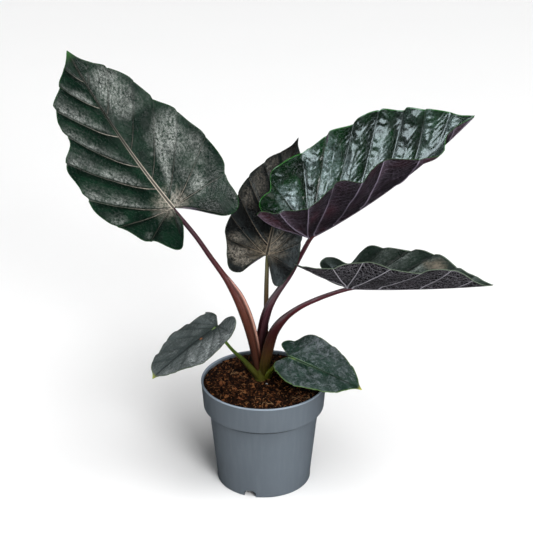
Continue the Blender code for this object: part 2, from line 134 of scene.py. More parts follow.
# The same shapes as the frame's blades, with what only the looks need. A pair holds the left and the right
# half. Only for the looks: veins, where the side veins reach the margin (shares of its length); sweep, how
# far they lean to the tip; quilt, how deep the blade is quilted between them; crumple, how rough its skin
# is; scallop, how far the margin stands out between them; shade, how dark the painted shade on the far flank
# of a vein is; shown, the number of the last plain side vein; painted_light, the painted sheen on a vein's
# near flank, then the painted sheen's wash and its limits across and along; patches, soft ovals that add
# painted sheen, and painted shade where the amount is below 0 (along, across, half length, half width,
# tilt, amount); rows and cols of the mesh; rib, how thick the midrib is; seat, how deep below the blade its
# stalk ends.
BIG = dict(rows=(70, 150), cols=56, rib=2.6)
MEDIUM = dict(rows=(60, 110), cols=40, rib=2.2, seat=3.4)
SMALL = dict(rows=(46, 76), cols=34, rib=1.4, ripple=((3, 1, 0), (3, 1, 0.5)), sweep=1.7, quilt=(0.6, 0.6),
             veins=2 * ((0.15, 0.30, 0.43, 0.55, 0.66, 0.77, 0.87),))
LEAVES = {
    "a": dict(
        BIG, base=(-84, 28, 270), tip=(-182, 84, 404), roll=-32, arch=-4, bow=-3,
        half=(68, 62), lobe=(33, 38), dip=(-6, 8), rise=((44, 10, 4), (8, 8, 6)),
        swell=((8, 5, -10, -11, -4, -1, -3, 2, -7, 1, 3, 2), (-4, -5, 5, 0, 5, 6, 1, 0, -4, 0, 1, 0)),
        ripple=((6, 2, 0), (5, 1.5, 0.5)),
        veins=((0.13, 0.26, 0.38, 0.50, 0.635, 0.715, 0.80, 0.875, 0.94),
               (0.10, 0.19, 0.33, 0.47, 0.59, 0.68, 0.77, 0.86, 0.93)),
        sweep=1.8, quilt=(2.7, 1.2), crumple=(0.20, 0.22), scallop=(1.3, 0.7),
        shade=(0.9, 0.0), shown=(20, 4),
        painted_light=((1.15, 0.06, 0.2, 1.0, -0.3, 0.9), (0.25, 0.55, 0.16, 0.95, -0.06, 0.93)),
        patches=(((165, 8, 24, 16, 0, -0.4), (-28, 22, 22, 26, 0, -0.3), (5, 38, 11, 22, -8, -0.35)),
                 ((62, 9, 36, 9, 6, -0.3), (84, 24, 9, 24, -14, -0.4), (122, 18, 28, 14, 4, 0.8),
                  (165, 6, 17, 14, 0, -0.4), (44, 22, 48, 4, 22, 0.9), (62, 42, 24, 10, 22, 0.7),
                  (5, 33, 14, 7, 20, 0.7), (-28, 28, 16, 14, 0, -0.8))),
        seat=3.8),
    "b": dict(
        MEDIUM, base=(3, 38, 218), tip=(34, 138, 300), roll=0, arch=5, bow=0,
        half=(42, 32), lobe=(23, 30), dip=(0, 5), rise=((8, 8, 8), (8, 8, 8)),
        swell=((-3, 0, -1.5, 3, 1, 2, 3, -1, -2), (2, -1, 2, 0, 0, -2, -3, -3)),
        ripple=((4, 1.5, 0), (4, 1.5, 0.5)),
        veins=((0.15, 0.26, 0.36, 0.47, 0.58, 0.68, 0.78, 0.88),
               (0.15, 0.28, 0.40, 0.50, 0.60, 0.70, 0.80, 0.90)),
        sweep=1.7, quilt=(1.7, 1.6), crumple=(0.25, 0.25), scallop=(0.4, 0.4), shade=(0.5, 0.5), shown=(6, 6),
        painted_light=((0.05, 0.30, 0.10, 0.95, -0.20, 0.95), (0.15, 0.35, 0.05, 0.9, -0.1, 0.95)),
        patches=(((28, 24, 11, 26, -16, -1.0), (76, 24, 34, 10, -18, 0.45), (-6, 26, 8, 15, -8, 1.4),
                  (12, 32, 6, 10, 20, 0.7), (-28, 26, 10, 14, 0, -0.9)),
                 ((14, 7, 14, 5, 20, 1.1), (4, 14, 6, 6, 0, 0.4), (-24, 14, 17, 20, 0, -1.0)))),
    "c": dict(
        BIG, base=(42, 28, 241), tip=(186, -2, 370), roll=2, arch=-8, bow=-2,
        half=(82, 72), lobe=(38, 27), dip=(-15, -46), rise=((50, 54, 52), (40, 40, 0)),
        swell=((0, -2, -15, -4, -1, -5, -2, 0, 6, 4, 4, 4), (0, 0, 0, 0, 0, 0, 0, 0, 0, 0, -3, -8)),
        lift=((), (3, 2, 0, 2, -8, -9, 2, -3, 10, 2, -6, 5)),
        ripple=((6, 2, 0.2), (0, 0, 0)),
        veins=((0.16, 0.28, 0.418, 0.515, 0.61, 0.70, 0.775, 0.85, 0.92),
               (0.12, 0.22, 0.32, 0.42, 0.52, 0.61, 0.70, 0.79, 0.87, 0.94)),
        sweep=1.7, quilt=(2.8, 3.4), crumple=(0.85, 0.45), scallop=(0.9, 0.6), shade=(0.7, 0.0),
        painted_light=((0.9, 0.30, 0.05, 0.9, -0.5, 1.0), (0.3, 0.3, 0.1, 0.9, -0.3, 0.9)),
        patches=(((0, 66, 20, 8, 20, -0.9), (17, 52, 6, 20, 0, -0.8), (-8, 46, 9, 14, 0, 0.8),
                  (-28, 34, 9, 22, 0, -0.8), (47, 46, 14, 20, 0, 0.6), (84, 44, 14, 26, 0, -0.3),
                  (108, 58, 24, 12, -20, -0.6), (128, 30, 14, 14, 0, -0.6)), ()),
        seat=3.35),
    "d": dict(
        MEDIUM, base=(77, -12, 208), tip=(207, -38, 222), roll=0, arch=-2, bow=0,
        half=(42, 42), lobe=(30, 46), dip=(-9, -6), rise=((18, 34, 36), (52, 51, 53)),
        swell=((0, -1, -7, -12, 4, 0, 1, 3, 2, -2, 0), ()),
        ripple=((4, 1.5, 0.3), (3, 4.5, 0.75)),
        veins=((0.20, 0.35, 0.48, 0.60, 0.71, 0.82, 0.91),
               (0.15, 0.27, 0.39, 0.50, 0.605, 0.716, 0.83, 0.92)),
        sweep=1.6, quilt=(2.0, 1.9), crumple=(0.30, 0.30), scallop=(0.8, 0.6), shade=(0.7, 0.0),
        painted_light=((1.2, 0.15, 0.1, 0.9, 0.1, 0.9), (0.3, 0.3, 0.1, 0.9, -0.3, 0.9))),
    "e": dict(
        SMALL, base=(-43, -13, 168), tip=(-103, -44, 129), roll=0, arch=2, bow=0,
        half=(33, 32), lobe=(11, 8), dip=(-10, 0), rise=((34, 0, 2), (8, 7, 10)),
        swell=((3.5, 2, 3, 1, 0.5, 0, 0), (-1, -6.5, -5.5, -4.5, -0.5, 2, 4.5)),
        crumple=(0.15, 0.15), scallop=(0.4, 0.5), shade=(0.2, 0.2),
        painted_light=((0.2, 1.0, 0.05, 1.1, -0.6, 1.1), (0.2, 0.45, 0.1, 1.1, -0.6, 1.1)), seat=1.8),
    "f": dict(
        SMALL, base=(24, -12, 135), tip=(91, -45, 118), roll=14, arch=1, bow=0,
        half=(31, 31), lobe=(13, 5), dip=(0, 0), rise=((-3, 6, 6), (3, 3, 3)),
        swell=((3, -6, 4, 2.5, 2, 0.5, 1.5), (3, -3, 0, 1, 1, 1, 0)),
        crumple=(0.18, 0.18), scallop=(0.3, 0.4), shade=(0.1, 0.1),
        painted_light=((0.2, 0.9, 0.1, 1.1, 0.0, 0.85), (0.2, 0.7, 0.1, 1.1, -0.2, 0.8)), seat=2.3),
}

# The same stations as the frame's stalks: place, outer radius, inner radius, half width. Then lean, the way
# the outer side faces; meet, the place where the sheath's wings meet (radians from the inner side); and the
# colours from the crown up to the blade.
STALKS = {
    "a": dict(
        lean=(-1, 0.1), meet=-0.75, stations=(
            (-4, 14, 98, 3.5, 3.5, 5), (-6, 14, 112, 4.5, 5.0, 7), (-9, 15, 130, 4.5, 5.5, 6.5),
            (-13, 16, 147, 4.5, 6.5, 6), (-19, 17, 165, 4.0, 7.5, 5.5), (-26, 19, 182, 3.5, 7.0, 4.5),
            (-33, 20, 196, 3.0, 4.5, 3.2), (-39, 21, 206, 2.7, 2.8, 2.7), (-51, 22, 224, 2.4, 2.4, 2.4),
            (-64, 23, 244, 2.2, 2.2, 2.2)),
        colours=((0.040, 0.016, 0.006), (0.060, 0.017, 0.008), (0.112, 0.030, 0.016), (0.105, 0.022, 0.018),
                 (0.060, 0.010, 0.016), (0.040, 0.008, 0.016), (0.034, 0.008, 0.016))),
    "b": dict(
        lean=(0.1, 1), meet=0.0, stations=(
            (-1, 18, 98, 3.0, 3.0, 3.0), (0, 20, 120, 2.8, 2.8, 2.8), (2, 23, 150, 2.5, 2.5, 2.5),
            (2.5, 28, 185, 2.2, 2.2, 2.2), (3, 33, 202, 2.0, 2.0, 2.0)),
        colours=((0.04, 0.015, 0.010), (0.05, 0.018, 0.012), (0.06, 0.025, 0.012), (0.07, 0.04, 0.015),
                 (0.09, 0.075, 0.02), (0.10, 0.105, 0.025))),
    "c": dict(
        lean=(1, 0.3), meet=0.5, stations=(
            (-3, 17, 98, 3.5, 3.5, 4.0), (-4, 18, 115, 4.5, 4.0, 5.5), (-3, 20, 138, 4.5, 4.0, 5.5),
            (1, 22, 158, 4.5, 4.5, 5.0), (6, 24, 172, 3.8, 4.0, 4.2), (14, 28, 184, 2.8, 3.2, 3.2),
            (25, 33, 199, 2.5, 2.5, 2.5), (35, 35, 218, 2.2, 2.2, 2.2)),
        colours=((0.012, 0.006, 0.003), (0.016, 0.005, 0.004), (0.028, 0.006, 0.009), (0.050, 0.010, 0.018),
                 (0.062, 0.013, 0.026), (0.068, 0.015, 0.026), (0.110, 0.030, 0.030))),
    "d": dict(
        lean=(1, -0.3), meet=0.35, stations=(
            (0, 12, 98, 3.5, 3.5, 5.0), (1, 11, 114, 5.0, 5.0, 7.0), (4, 9, 132, 5.5, 5.0, 6.5),
            (9, 7, 149, 4.5, 5.0, 5.5), (16, 4, 162, 3.5, 4.5, 4.5), (24, 2, 172, 2.8, 3.2, 3.4),
            (36, -2, 183, 2.4, 2.4, 2.4), (52, -6, 193, 2.2, 2.2, 2.2), (66, -11, 201, 2.0, 2.0, 2.0)),
        colours=((0.085, 0.088, 0.010), (0.060, 0.034, 0.006), (0.038, 0.007, 0.005), (0.060, 0.006, 0.009),
                 (0.090, 0.008, 0.016), (0.080, 0.008, 0.016), (0.050, 0.008, 0.015))),
    "e": dict(
        lean=(-0.9, -0.4), meet=-0.9, stations=(
            (-4, 12, 97, 3.0, 3.0, 4.0), (-8, 9, 105, 3.2, 3.4, 4.8), (-14, 7, 114, 2.8, 3.0, 4.2),
            (-20, 3, 124, 2.2, 2.2, 2.6), (-29, -2, 136, 1.6, 1.6, 1.6), (-37, -9, 151, 1.5, 1.5, 1.5)),
        colours=((0.085, 0.075, 0.008), (0.060, 0.070, 0.008), (0.045, 0.070, 0.008), (0.065, 0.12, 0.014),
                 (0.08, 0.15, 0.02), (0.09, 0.15, 0.03))),
    "f": dict(
        lean=(0.8, -0.6), meet=0.6, stations=(
            (2, 11, 97, 2.4, 2.4, 3.0), (4, 8, 105, 2.6, 2.6, 3.6), (9, 5, 113, 2.2, 2.2, 3.0),
            (14, 0, 122, 1.7, 1.7, 2.0)),
        colours=((0.13, 0.13, 0.010), (0.16, 0.20, 0.015), (0.14, 0.20, 0.02), (0.10, 0.17, 0.02),
                 (0.08, 0.14, 0.02))),
}
# How strong the pale painted highlight along a stalk's sheath is, and its tone
EDGE_LIGHT = {"a": 0.9, "d": 0.25}
EDGE_LIGHT_TONE = np.array((0.50, 0.36, 0.30))
RING = 30
CROWN_RING = 48
CROWN_ROWS = 60
STALK_CURVE = 900
STALK_STEP = 1.3
GRAIN_STRETCH = 9


# Curves

def spline(points, count):
    """Evenly timed points on a smooth curve through the given ones."""
    pts = np.array(points, float)
    if pts.ndim == 1:
        pts = pts[:, None]
    last = len(pts) - 1
    time = np.linspace(0, last, count)
    i = np.minimum(time.astype(int), last - 1)
    u = (time - i)[:, None]
    p1 = pts[i]
    p2 = pts[i + 1]
    p0 = np.where((i > 0)[:, None], pts[np.maximum(i - 1, 0)], 2 * p1 - p2)
    p3 = np.where((i < last - 1)[:, None], pts[np.minimum(i + 2, last)], 2 * p2 - p1)
    cubic = 3 * p1 - p0 - 3 * p2 + p3
    return 0.5 * (2 * p1 + (p2 - p0) * u + (2 * p0 - 5 * p1 + 4 * p2 - p3) * u ** 2 + cubic * u ** 3)


def run_along(points):
    """Length of the curve up to each of its points."""
    return np.concatenate(([0.0], np.cumsum(np.linalg.norm(np.diff(points, axis=0), axis=1))))


def looked_up(want, run, values):
    """The values of a curve where its run is what is wanted."""
    return np.stack([np.interp(want, run, values[:, c]) for c in range(values.shape[1])], -1)


def even(points, count):
    """The same curve in steps of equal length."""
    run = run_along(points)
    return looked_up(np.linspace(0, run[-1], count), run, points)


def unit(vectors, guard=0.0):
    return vectors / (np.linalg.norm(vectors, axis=-1, keepdims=True) + guard)


def turned(vector, axis, degrees):
    angle = math.radians(degrees)
    across = np.cross(axis, vector)
    along = axis * (axis @ vector) * (1 - math.cos(angle))
    return vector * math.cos(angle) + across * math.sin(angle) + along


def ramp(value, low, high):
    """0 below low, 1 above high, smooth between."""
    s = np.clip((value - low) / (high - low), 0, 1)
    return s * s * (3 - 2 * s)


def bell(value, width, centre=0.0):
    """1 at the centre, falling to 0 on both sides."""
    return np.exp(-((value - centre) / width) ** 2)


def rough(points, scale, octaves=3):
    """Noise at points in millimetres, about -1 to 1."""
    flat = points.reshape(-1, 3) * scale
    out = np.array([noise.fractal(Vector(p), 0.9, 2.0, octaves) for p in flat])
    return out.reshape(points.shape[:-1])


# The blade's own shape. side is -1 for the left half and 1 for the right one, k is the same as an index.

def midrib(leaf):
    """Run along the midrib, its points, and at each the way ahead, the way right and the way up."""
    base = np.array(leaf["base"], float)
    chord = np.array(leaf["tip"], float) - base
    ahead = unit(chord)
    right = unit(np.cross(ahead, (0.0, 0.0, 1.0)))
    up = turned(np.cross(right, ahead), ahead, leaf["roll"])
    s = np.linspace(0, 1, MIDRIB_POINTS)[:, None]
    hump = 4 * s * (1 - s)
    line = base + chord * s + hump * (up * leaf["arch"] + np.cross(ahead, up) * leaf["bow"])
    tangent = unit(np.gradient(line, axis=0))
    rights = unit(np.cross(tangent, up))
    return run_along(line), line, tangent, rights, np.cross(rights, tangent)


def flat_margin(length, half, lobe, count):
    along = np.where(OUTLINE[:, 0] < 0, OUTLINE[:, 0] * lobe, OUTLINE[:, 0] * length)
    return even(spline(np.stack([along, OUTLINE[:, 1] * half], -1), MARGIN_CURVE), count)


def margin_lift(leaf, k, count):
    waves, height, start = leaf["ripple"][k]
    time = np.linspace(0, 1, count)
    fade = np.clip(RIPPLE_ENDS * time * (1 - time), 0, 1)
    notes = leaf.get("lift", ((), ()))[k]
    return height * np.sin(2 * math.pi * (waves * time + start)) * fade + spline((0, *notes, 0), count)[:, 0]


def vein_phase(leaf, k, times):
    """A running number along the margin that is whole where a side vein ends."""
    veins = leaf["veins"][k]
    return np.interp(times, (0.0, *veins, 1.0), np.arange(len(veins) + 2, dtype=float))


def half_margin(leaf, side, length):
    """The flat margin of one half, its veins' feet, and the lift and fold at each time along it."""
    k = 0 if side < 0 else 1
    flat = flat_margin(length, leaf["half"][k], leaf["lobe"][k], MARGIN_POINTS)
    foot = length * np.clip((flat[:, 0] / length - FEET_START) / (1 - FEET_START), 0, 1) ** leaf["sweep"]
    way = unit(np.gradient(flat, axis=0))
    outward = np.stack([-way[:, 1], way[:, 0]], -1)
    swell = spline((0, *leaf["swell"][k], 0), MARGIN_POINTS)
    rise = np.radians(spline(leaf["rise"][k], MARGIN_POINTS)[:, 0])
    phase = vein_phase(leaf, k, np.linspace(0, 1, MARGIN_POINTS))
    last = len(leaf["veins"][k])
    turn = phase % 1.0
    saw = np.where(turn < 0.22, 2 * ramp(turn, 0.0, 0.22) - 1, 1 - 2 * ramp(turn, 0.15, 1.0))
    uneven = 1 + 0.6 * np.sin(2.3 * np.floor(phase) + side)
    bulge = leaf["scallop"][k] * saw * uneven * ramp(phase, 1.0, 2.0) * (1 - ramp(phase, last - 0.5, last))
    return flat + outward * (swell + bulge[:, None]), foot, margin_lift(leaf, k, MARGIN_POINTS), rise


def row_times(leaf, length):
    """Times of the rows of both halves, so that they share the midrib's points."""
    lobe_rows, arm_rows = leaf["rows"]
    times = {}
    feet = None
    for side in (1, -1):
        _, foot, _, _ = half_margin(leaf, side, length)
        time = np.linspace(0, 1, len(foot))
        start = int(np.argmax(foot > 0))
        bend = time[start]
        if feet is None:
            arm = bend + (1 - bend) * np.linspace(0, 1, arm_rows + 1)[1:-1]
            feet = np.interp(arm, time, foot)
        else:
            arm = np.interp(feet, foot[start - 1:], time[start - 1:])
        times[side] = np.concatenate((np.linspace(0.008, bend, lobe_rows), arm))
    return times


class Sheet:
    """One half of a blade before its relief: a row for each time, a column from the midrib to the margin."""

    def __init__(self, leaf, side, bones, times, seed):
        run, line, tangent, right, up = bones
        length = run[-1]
        k = 0 if side < 0 else 1
        flat, foot, lift, rise = half_margin(leaf, side, length)
        margin_times = np.linspace(0, 1, len(foot))
        edge = looked_up(times, margin_times, flat)
        foot, lift, rise = (np.interp(times, margin_times, v)[:, None] for v in (foot, lift, rise))
        v = np.linspace(0, 1, leaf["cols"] + 1)
        v = 0.25 * v + 0.75 * (1 - (1 - v) ** 1.25)
        along = foot + (edge[:, :1] - foot) * v ** 1.25
        across = edge[:, 1:] * v
        angle = rise * (1 - CUP + CUP * v) * (1 - 0.5 * bell(across, 3.0))
        reach = np.clip(along, 0, length)
        spot, way, top = (looked_up(reach, run, field) for field in (line, right, up))
        dip = math.radians(leaf["dip"][k])
        back = np.minimum(along, 0)
        spot = spot + back[..., None] * (math.cos(dip) * tangent[0] + math.sin(dip) * up[0])
        wave = lift * v ** 2
        aside = side * (across * np.cos(angle) - wave * np.sin(angle))
        raised = across * np.sin(angle) + wave * np.cos(angle)
        points = spot + aside[..., None] * way + raised[..., None] * top

        by_row = np.gradient(points, axis=0)
        by_col = unit(np.gradient(points, axis=1), 1e-9)
        normal = unit(side * np.cross(by_col, by_row), 1e-9)
        flip = np.sign(np.sum(normal * top, axis=2))
        normal *= np.where(flip == 0, 1, flip)[..., None]
        near = ramp(np.hypot(across, back), 0.5, 7.0)[..., None]
        self.points = points
        self.normal = unit(top * (1 - near) + normal * near)

        self.times, self.v, self.along, self.across, self.reach = times, v, along, across, reach
        self.phase = vein_phase(leaf, k, times)
        square = by_row - np.sum(by_row * by_col, axis=2)[..., None] * by_col
        self.gap = np.linalg.norm(square, axis=2) / np.maximum(np.gradient(self.phase), 1e-6)[:, None]
        hops = np.linalg.norm(np.diff(points, axis=1), axis=2)
        self.out = np.concatenate((np.zeros((len(times), 1)), np.cumsum(hops, axis=1)), axis=1)
        self.edge_off = self.out[:, -1:] - self.out
        self.middle = np.abs(across) + np.maximum(-along, 0) * 0.9
        # Vein to vein: the distance from the nearest one, at most a half, and the way from one to the next
        inner = (self.phase >= 0.5) & (self.phase <= len(leaf["veins"][k]) + 0.5)
        self.q = np.where(inner, np.abs(self.phase - np.round(self.phase)), 0.5)[:, None] + 0 * v
        turn = self.phase % 1.0
        self.turn = np.where(self.phase < 1.0, 0.5 + 0.5 * turn, turn)[:, None] + 0 * v
        self.place = np.stack([along, side * across, np.full_like(along, seed * NOISE_APART)], -1)
        self.low = rough(self.place, 0.022, 2)
        self.mid = rough(self.place, 0.065, 2)


def relief(leaf, side, sheet, seed):
    """Height of the skin: a valley on each vein, a crest that leans to the tip, crumples and a wavy hem."""
    k = 0 if side < 0 else 1
    v, q, gap, middle, times = sheet.v, sheet.q, sheet.gap, sheet.middle, sheet.times
    quilt, crumple = leaf["quilt"][k], leaf["crumple"][k]
    deep = np.minimum(quilt, 0.17 * gap) * ramp(middle, 1.0, 14.0) * (1 - 0.4 * ramp(v, 0.7, 1.0))
    jitter = np.array([noise.noise(Vector((i * 1.7, seed * 3.1, side))) for i in range(16)])
    vary = 1 + 0.5 * jitter[np.clip(np.round(sheet.phase).astype(int), 0, 15)][:, None]
    crest = np.sin(np.pi * sheet.turn ** 0.85) ** 0.75
    slant = sheet.out + 0.8 * q * gap
    pucker = np.sin(2 * np.pi * slant / PUCKER_GAP + 3.5 * rough(sheet.place, 0.035))
    pucker = pucker * np.sin(2 * np.pi * np.clip(q, 0, 0.5)) * ramp(gap, 6, 14)
    fine = rough(sheet.place, 0.15, 3)
    inner = ramp(sheet.edge_off, 0, 8.0) * ramp(middle, 1.0, 9.0)
    high = deep * vary * (crest - 0.5) + 0.5 * quilt * inner * sheet.low
    high = high + crumple * inner * ramp(q * gap, 0.3, 3.0) * (1.3 * sheet.mid + 0.45 * fine + 0.3 * pucker)
    high = high - 0.30 * bell(q * gap, 0.8) * ramp(middle, 0.5, 4.0) * (1 - 0.8 * v)
    hem = np.sin(2 * np.pi * HEM_WAVES * times + 4 * seed)[:, None] * v ** 6
    high = high + 0.6 * crumple * hem * np.clip(10 * times * (1 - times), 0, 1)[:, None]
    return high - 0.35 * bell(middle, 1.6) * ramp(sheet.reach, -1, 8)


def thickness(leaf, k, sheet, length):
    """Thickness of the blade with its rib and the ridges under its side veins."""
    taper = np.clip(1.12 - sheet.reach / length, 0, 1)
    rib = leaf["rib"] * taper * bell(sheet.middle, 0.9 + 1.9 * taper)
    ridge = (0.3 + 0.15 * leaf["quilt"][k]) * bell(sheet.q * sheet.gap, 0.85) * (1 - 0.75 * sheet.v)
    return BLADE_T * (1 - 0.25 * ramp(sheet.v, 0.8, 1)) + rib + ridge * ramp(sheet.middle, 1, 5)


def painted_sheen_and_shade(leaf, k, sheet, length):
    """Painted light on the skin: above 0 a paler painted sheen, below 0 painted shade, darker than its plain
    colour.
    """
    flank, broad, low_v, high_v, low_s, high_s = leaf["painted_light"][k]
    v, turn, along, across = sheet.v, sheet.turn, sheet.along, sheet.across
    s = along / length
    # A painted sheen on the near flank of each vein, and a broad wash of painted sheen
    band = flank * ramp(turn, 0.01, 0.09) * bell(turn, 0.33)
    band = band * ramp(v, 0.08, 0.35) * (1 - 0.7 * ramp(v, 0.9, 1.0))
    band = band * (0.15 + 0.85 * ramp(s, -0.12, 0.04)) * (1 - 0.6 * ramp(s, 0.8, 0.95))
    wash = broad * ramp(v, low_v, low_v + 0.25) * (1 - ramp(v, high_v - 0.12, high_v))
    wash = wash * ramp(s, low_s, low_s + 0.12) * (1 - ramp(s, high_s - 0.15, high_s))
    painted_light = (band + wash) * (0.35 + 0.65 * ramp(sheet.low + 0.5 * sheet.mid, -0.30, 0.25))
    # Ovals that add painted sheen where their amount is above 0 and painted shade where it is below 0
    for x, y, far, wide, tilt, amount in leaf.get("patches", ((), ()))[k]:
        slope = math.radians(tilt)
        ahead = (along - x) * math.cos(slope) + (across - y) * math.sin(slope)
        aside = (across - y) * math.cos(slope) - (along - x) * math.sin(slope)
        oval = np.exp(-(((ahead / far) ** 2 + (aside / wide) ** 2) * (1 + 0.8 * sheet.mid)) ** 1.5)
        painted_light = (painted_light if amount > 0 else painted_light * (1 - oval)) + amount * oval
    # Painted shade on the far flank of each vein
    return painted_light - leaf["shade"][k] * ramp(turn, 0.70, 0.95) * ramp(v, 0.04, 0.25) * (1 - ramp(v, 0.88, 1.0))


def half_blade(leaf, side, bones, times, seed):
    """One half of a blade: its upper and lower points, their place on the flat leaf, and its fields."""
    k = 0 if side < 0 else 1
    length = bones[0][-1]
    sheet = Sheet(leaf, side, bones, times, seed)
    upper = sheet.points + sheet.normal * relief(leaf, side, sheet, seed)[..., None]
    lower = upper - sheet.normal * thickness(leaf, k, sheet, length)[..., None]
    number = np.round(sheet.phase)
    shown = leaf.get("shown", (20, 20))[k]
    strong = 0.35 + 0.65 * ramp(number, 1.5, 3.0) * (1 - 0.6 * ramp(times, 0.82, 0.97))
    strong = strong * (1 - 0.75 * ramp(number, shown, shown + 1.0))
    level = 0 * sheet.v
    fields = dict(strength=strong[:, None] + level, phase=sheet.phase[:, None] + level, gap=sheet.gap,
                  reach=sheet.out, edge=sheet.edge_off, middle=sheet.middle, share=sheet.v + 0 * sheet.gap,
                  along=sheet.reach / length, painted_light=painted_sheen_and_shade(leaf, k, sheet, length))
    return upper, lower, sheet.place, fields


# Meshes

FIELD_KINDS = {1: ("FLOAT", "value"), 3: ("FLOAT_VECTOR", "vector"), 4: ("FLOAT_COLOR", "color")}


def linked(name, data):
    ob = bpy.data.objects.new(name, data)
    bpy.context.scene.collection.objects.link(ob)
    return ob


def mesh_object(name, points, faces, materials, slots=None, fields=None, smooth=True):
    """A mesh from points in millimetres about the pot's axis, with the fields that its materials read."""
    mesh = bpy.data.meshes.new(name)
    mesh.from_pydata((np.asarray(points) * MM + np.array(AXIS)).tolist(), [], faces)
    for mat in materials:
        mesh.materials.append(mat)
    if slots is not None:
        mesh.polygons.foreach_set("material_index", np.array(slots, np.int32))
    for key, values in (fields or {}).items():
        values = np.asarray(values, np.float32)
        width = 1 if values.ndim == 1 else values.shape[1]
        kind, part = FIELD_KINDS[width]
        mesh.attributes.new(key, kind, "POINT").data.foreach_set(part, values.ravel())
    mesh.polygons.foreach_set("use_smooth", np.full(len(mesh.polygons), smooth))
    mesh.update()
    mesh.validate()
    return linked(name, mesh)


def tube(rows, ring, start=0, down=False, first_cap=True):
    """Faces of a tube with closed ends, for points that lie in rings from its first end to its last."""
    faces = []
    for i in range(rows - 1):
        for n in range(ring):
            a = start + i * ring + n
            b = start + i * ring + (n + 1) % ring
            faces.append((a, a + ring, b + ring, b) if down else (a, b, b + ring, a + ring))
    first = tuple(range(start, start + ring))
    last = tuple(range(start + (rows - 1) * ring, start + rows * ring))
    if first_cap:
        faces.append(first if down else first[::-1])
    faces.append(last[::-1] if down else last)
    return faces


def merged(chunks):
    """Several chunks of points, faces and fields as one."""
    faces = []
    count = 0
    for points, own_faces, *_ in chunks:
        faces.extend(tuple(i + count for i in face) for face in own_faces)
        count += len(points)
    points, _, *fields = zip(*chunks)
    return np.concatenate(points), faces, *(np.concatenate(field) for field in fields)


def opaque(colour):
    return np.concatenate((colour, np.ones((*colour.shape[:-1], 1))), -1).reshape(-1, 4)


def upper_faces(halves, lobe_rows, tip):
    """Faces of both halves of a blade, which share the points on the midrib and the tip."""
    faces = []
    start = 0
    for side, (upper, *_) in zip((-1, 1), halves):
        rows, cols = upper.shape[:2]
        index = start + np.arange(rows * cols).reshape(rows, cols)
        if side < 0:
            index[:lobe_rows, 0] = start
            shared = index[:, 0].copy()
        index[:, 0] = shared
        start += rows * cols
        index = index.tolist()
        own = []
        for i in range(rows - 1):
            for j in range(cols - 1):
                a, b, c, d = index[i][j], index[i][j + 1], index[i + 1][j + 1], index[i + 1][j]
                own.append((a, b, c) if a == d else (a, b, c, d))
        own += [(a, b, tip) for a, b in zip(index[-1], index[-1][1:])]
        faces += own if side > 0 else [face[::-1] for face in own]
    return faces


def rounded_rim(upper, lower, edges, rim):
    """Points half way between the faces of a blade, a little outside its margin."""
    beside = {}
    for a, b in edges:
        beside.setdefault(a, []).append(b)
        beside.setdefault(b, []).append(a)
    out = []
    for i in rim:
        ahead = upper[beside[i][0]] - upper[beside[i][-1]]
        away = np.cross(ahead, upper[i] - lower[i])
        size = np.linalg.norm(away)
        outward = away @ (upper[i] - upper[max(i - 1, 0)]) >= 0
        push = (away if outward else -away) / size * RIM_OUT if size > 1e-6 else 0
        out.append((upper[i] + lower[i]) / 2 + push)
    return np.array(out)


def blade(key, leaf, seed, materials):
    bones = midrib(leaf)
    length = bones[0][-1]
    times = row_times(leaf, length)
    halves = [half_blade(leaf, side, bones, times[side], seed) for side in (-1, 1)]
    uppers, lowers, places = ([part.reshape(-1, 3) for part in parts] for parts in list(zip(*halves))[:3])
    end = bones[1][-1]
    upper = np.concatenate((*uppers, [end]))
    lower = np.concatenate((*lowers, [end - bones[4][-1] * 0.5]))
    place = np.concatenate((*places, [(length, 0.0, seed * NOISE_APART)]))
    fields = {}
    for name in halves[0][3]:
        values = [half[3][name].reshape(-1) for half in halves]
        fields[name] = np.concatenate((*values, values[0][-1:]))

    total = len(upper)
    faces = upper_faces(halves, leaf["rows"][0], total - 1)
    edges = {}
    for face in faces:
        for a, b in zip(face, face[1:] + face[:1]):
            if (b, a) in edges:
                del edges[(b, a)]
            else:
                edges[(a, b)] = True
    rim = sorted({i for pair in edges for i in pair})
    rim_at = {i: 2 * total + n for n, i in enumerate(rim)}
    slots = [0] * len(faces) + [1] * len(faces) + [0, 1] * len(edges)
    faces += [tuple(i + total for i in face[::-1]) for face in faces]
    for a, b in edges:
        faces.append((b, a, rim_at[a], rim_at[b]))
        faces.append((rim_at[b], rim_at[a], a + total, b + total))
    points = np.concatenate((upper, lower, rounded_rim(upper, lower, edges, rim)))
    fields = {name: np.concatenate((v, v, v[rim])) for name, v in (*fields.items(), ("place", place * MM))}
    used = sorted({i for face in faces for i in face})
    new_index = {old: new for new, old in enumerate(used)}
    faces = [tuple(new_index[i] for i in face) for face in faces]
    fields = {name: values[used] for name, values in fields.items()}
    ob = mesh_object(f"leaf_{key}", points[used], faces, materials, slots, fields)
    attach(ob, "root")
    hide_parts(f"blade_{key}")


# Stalks and crown

def skin_grain(theta, rise, spread):
    """Where the skin's pattern is read: around the stalk and along it."""
    around = [np.cos(theta) * spread + 0 * rise, np.sin(theta) * spread + 0 * rise]
    return np.stack([*around, rise / GRAIN_STRETCH + 0 * theta], -1)


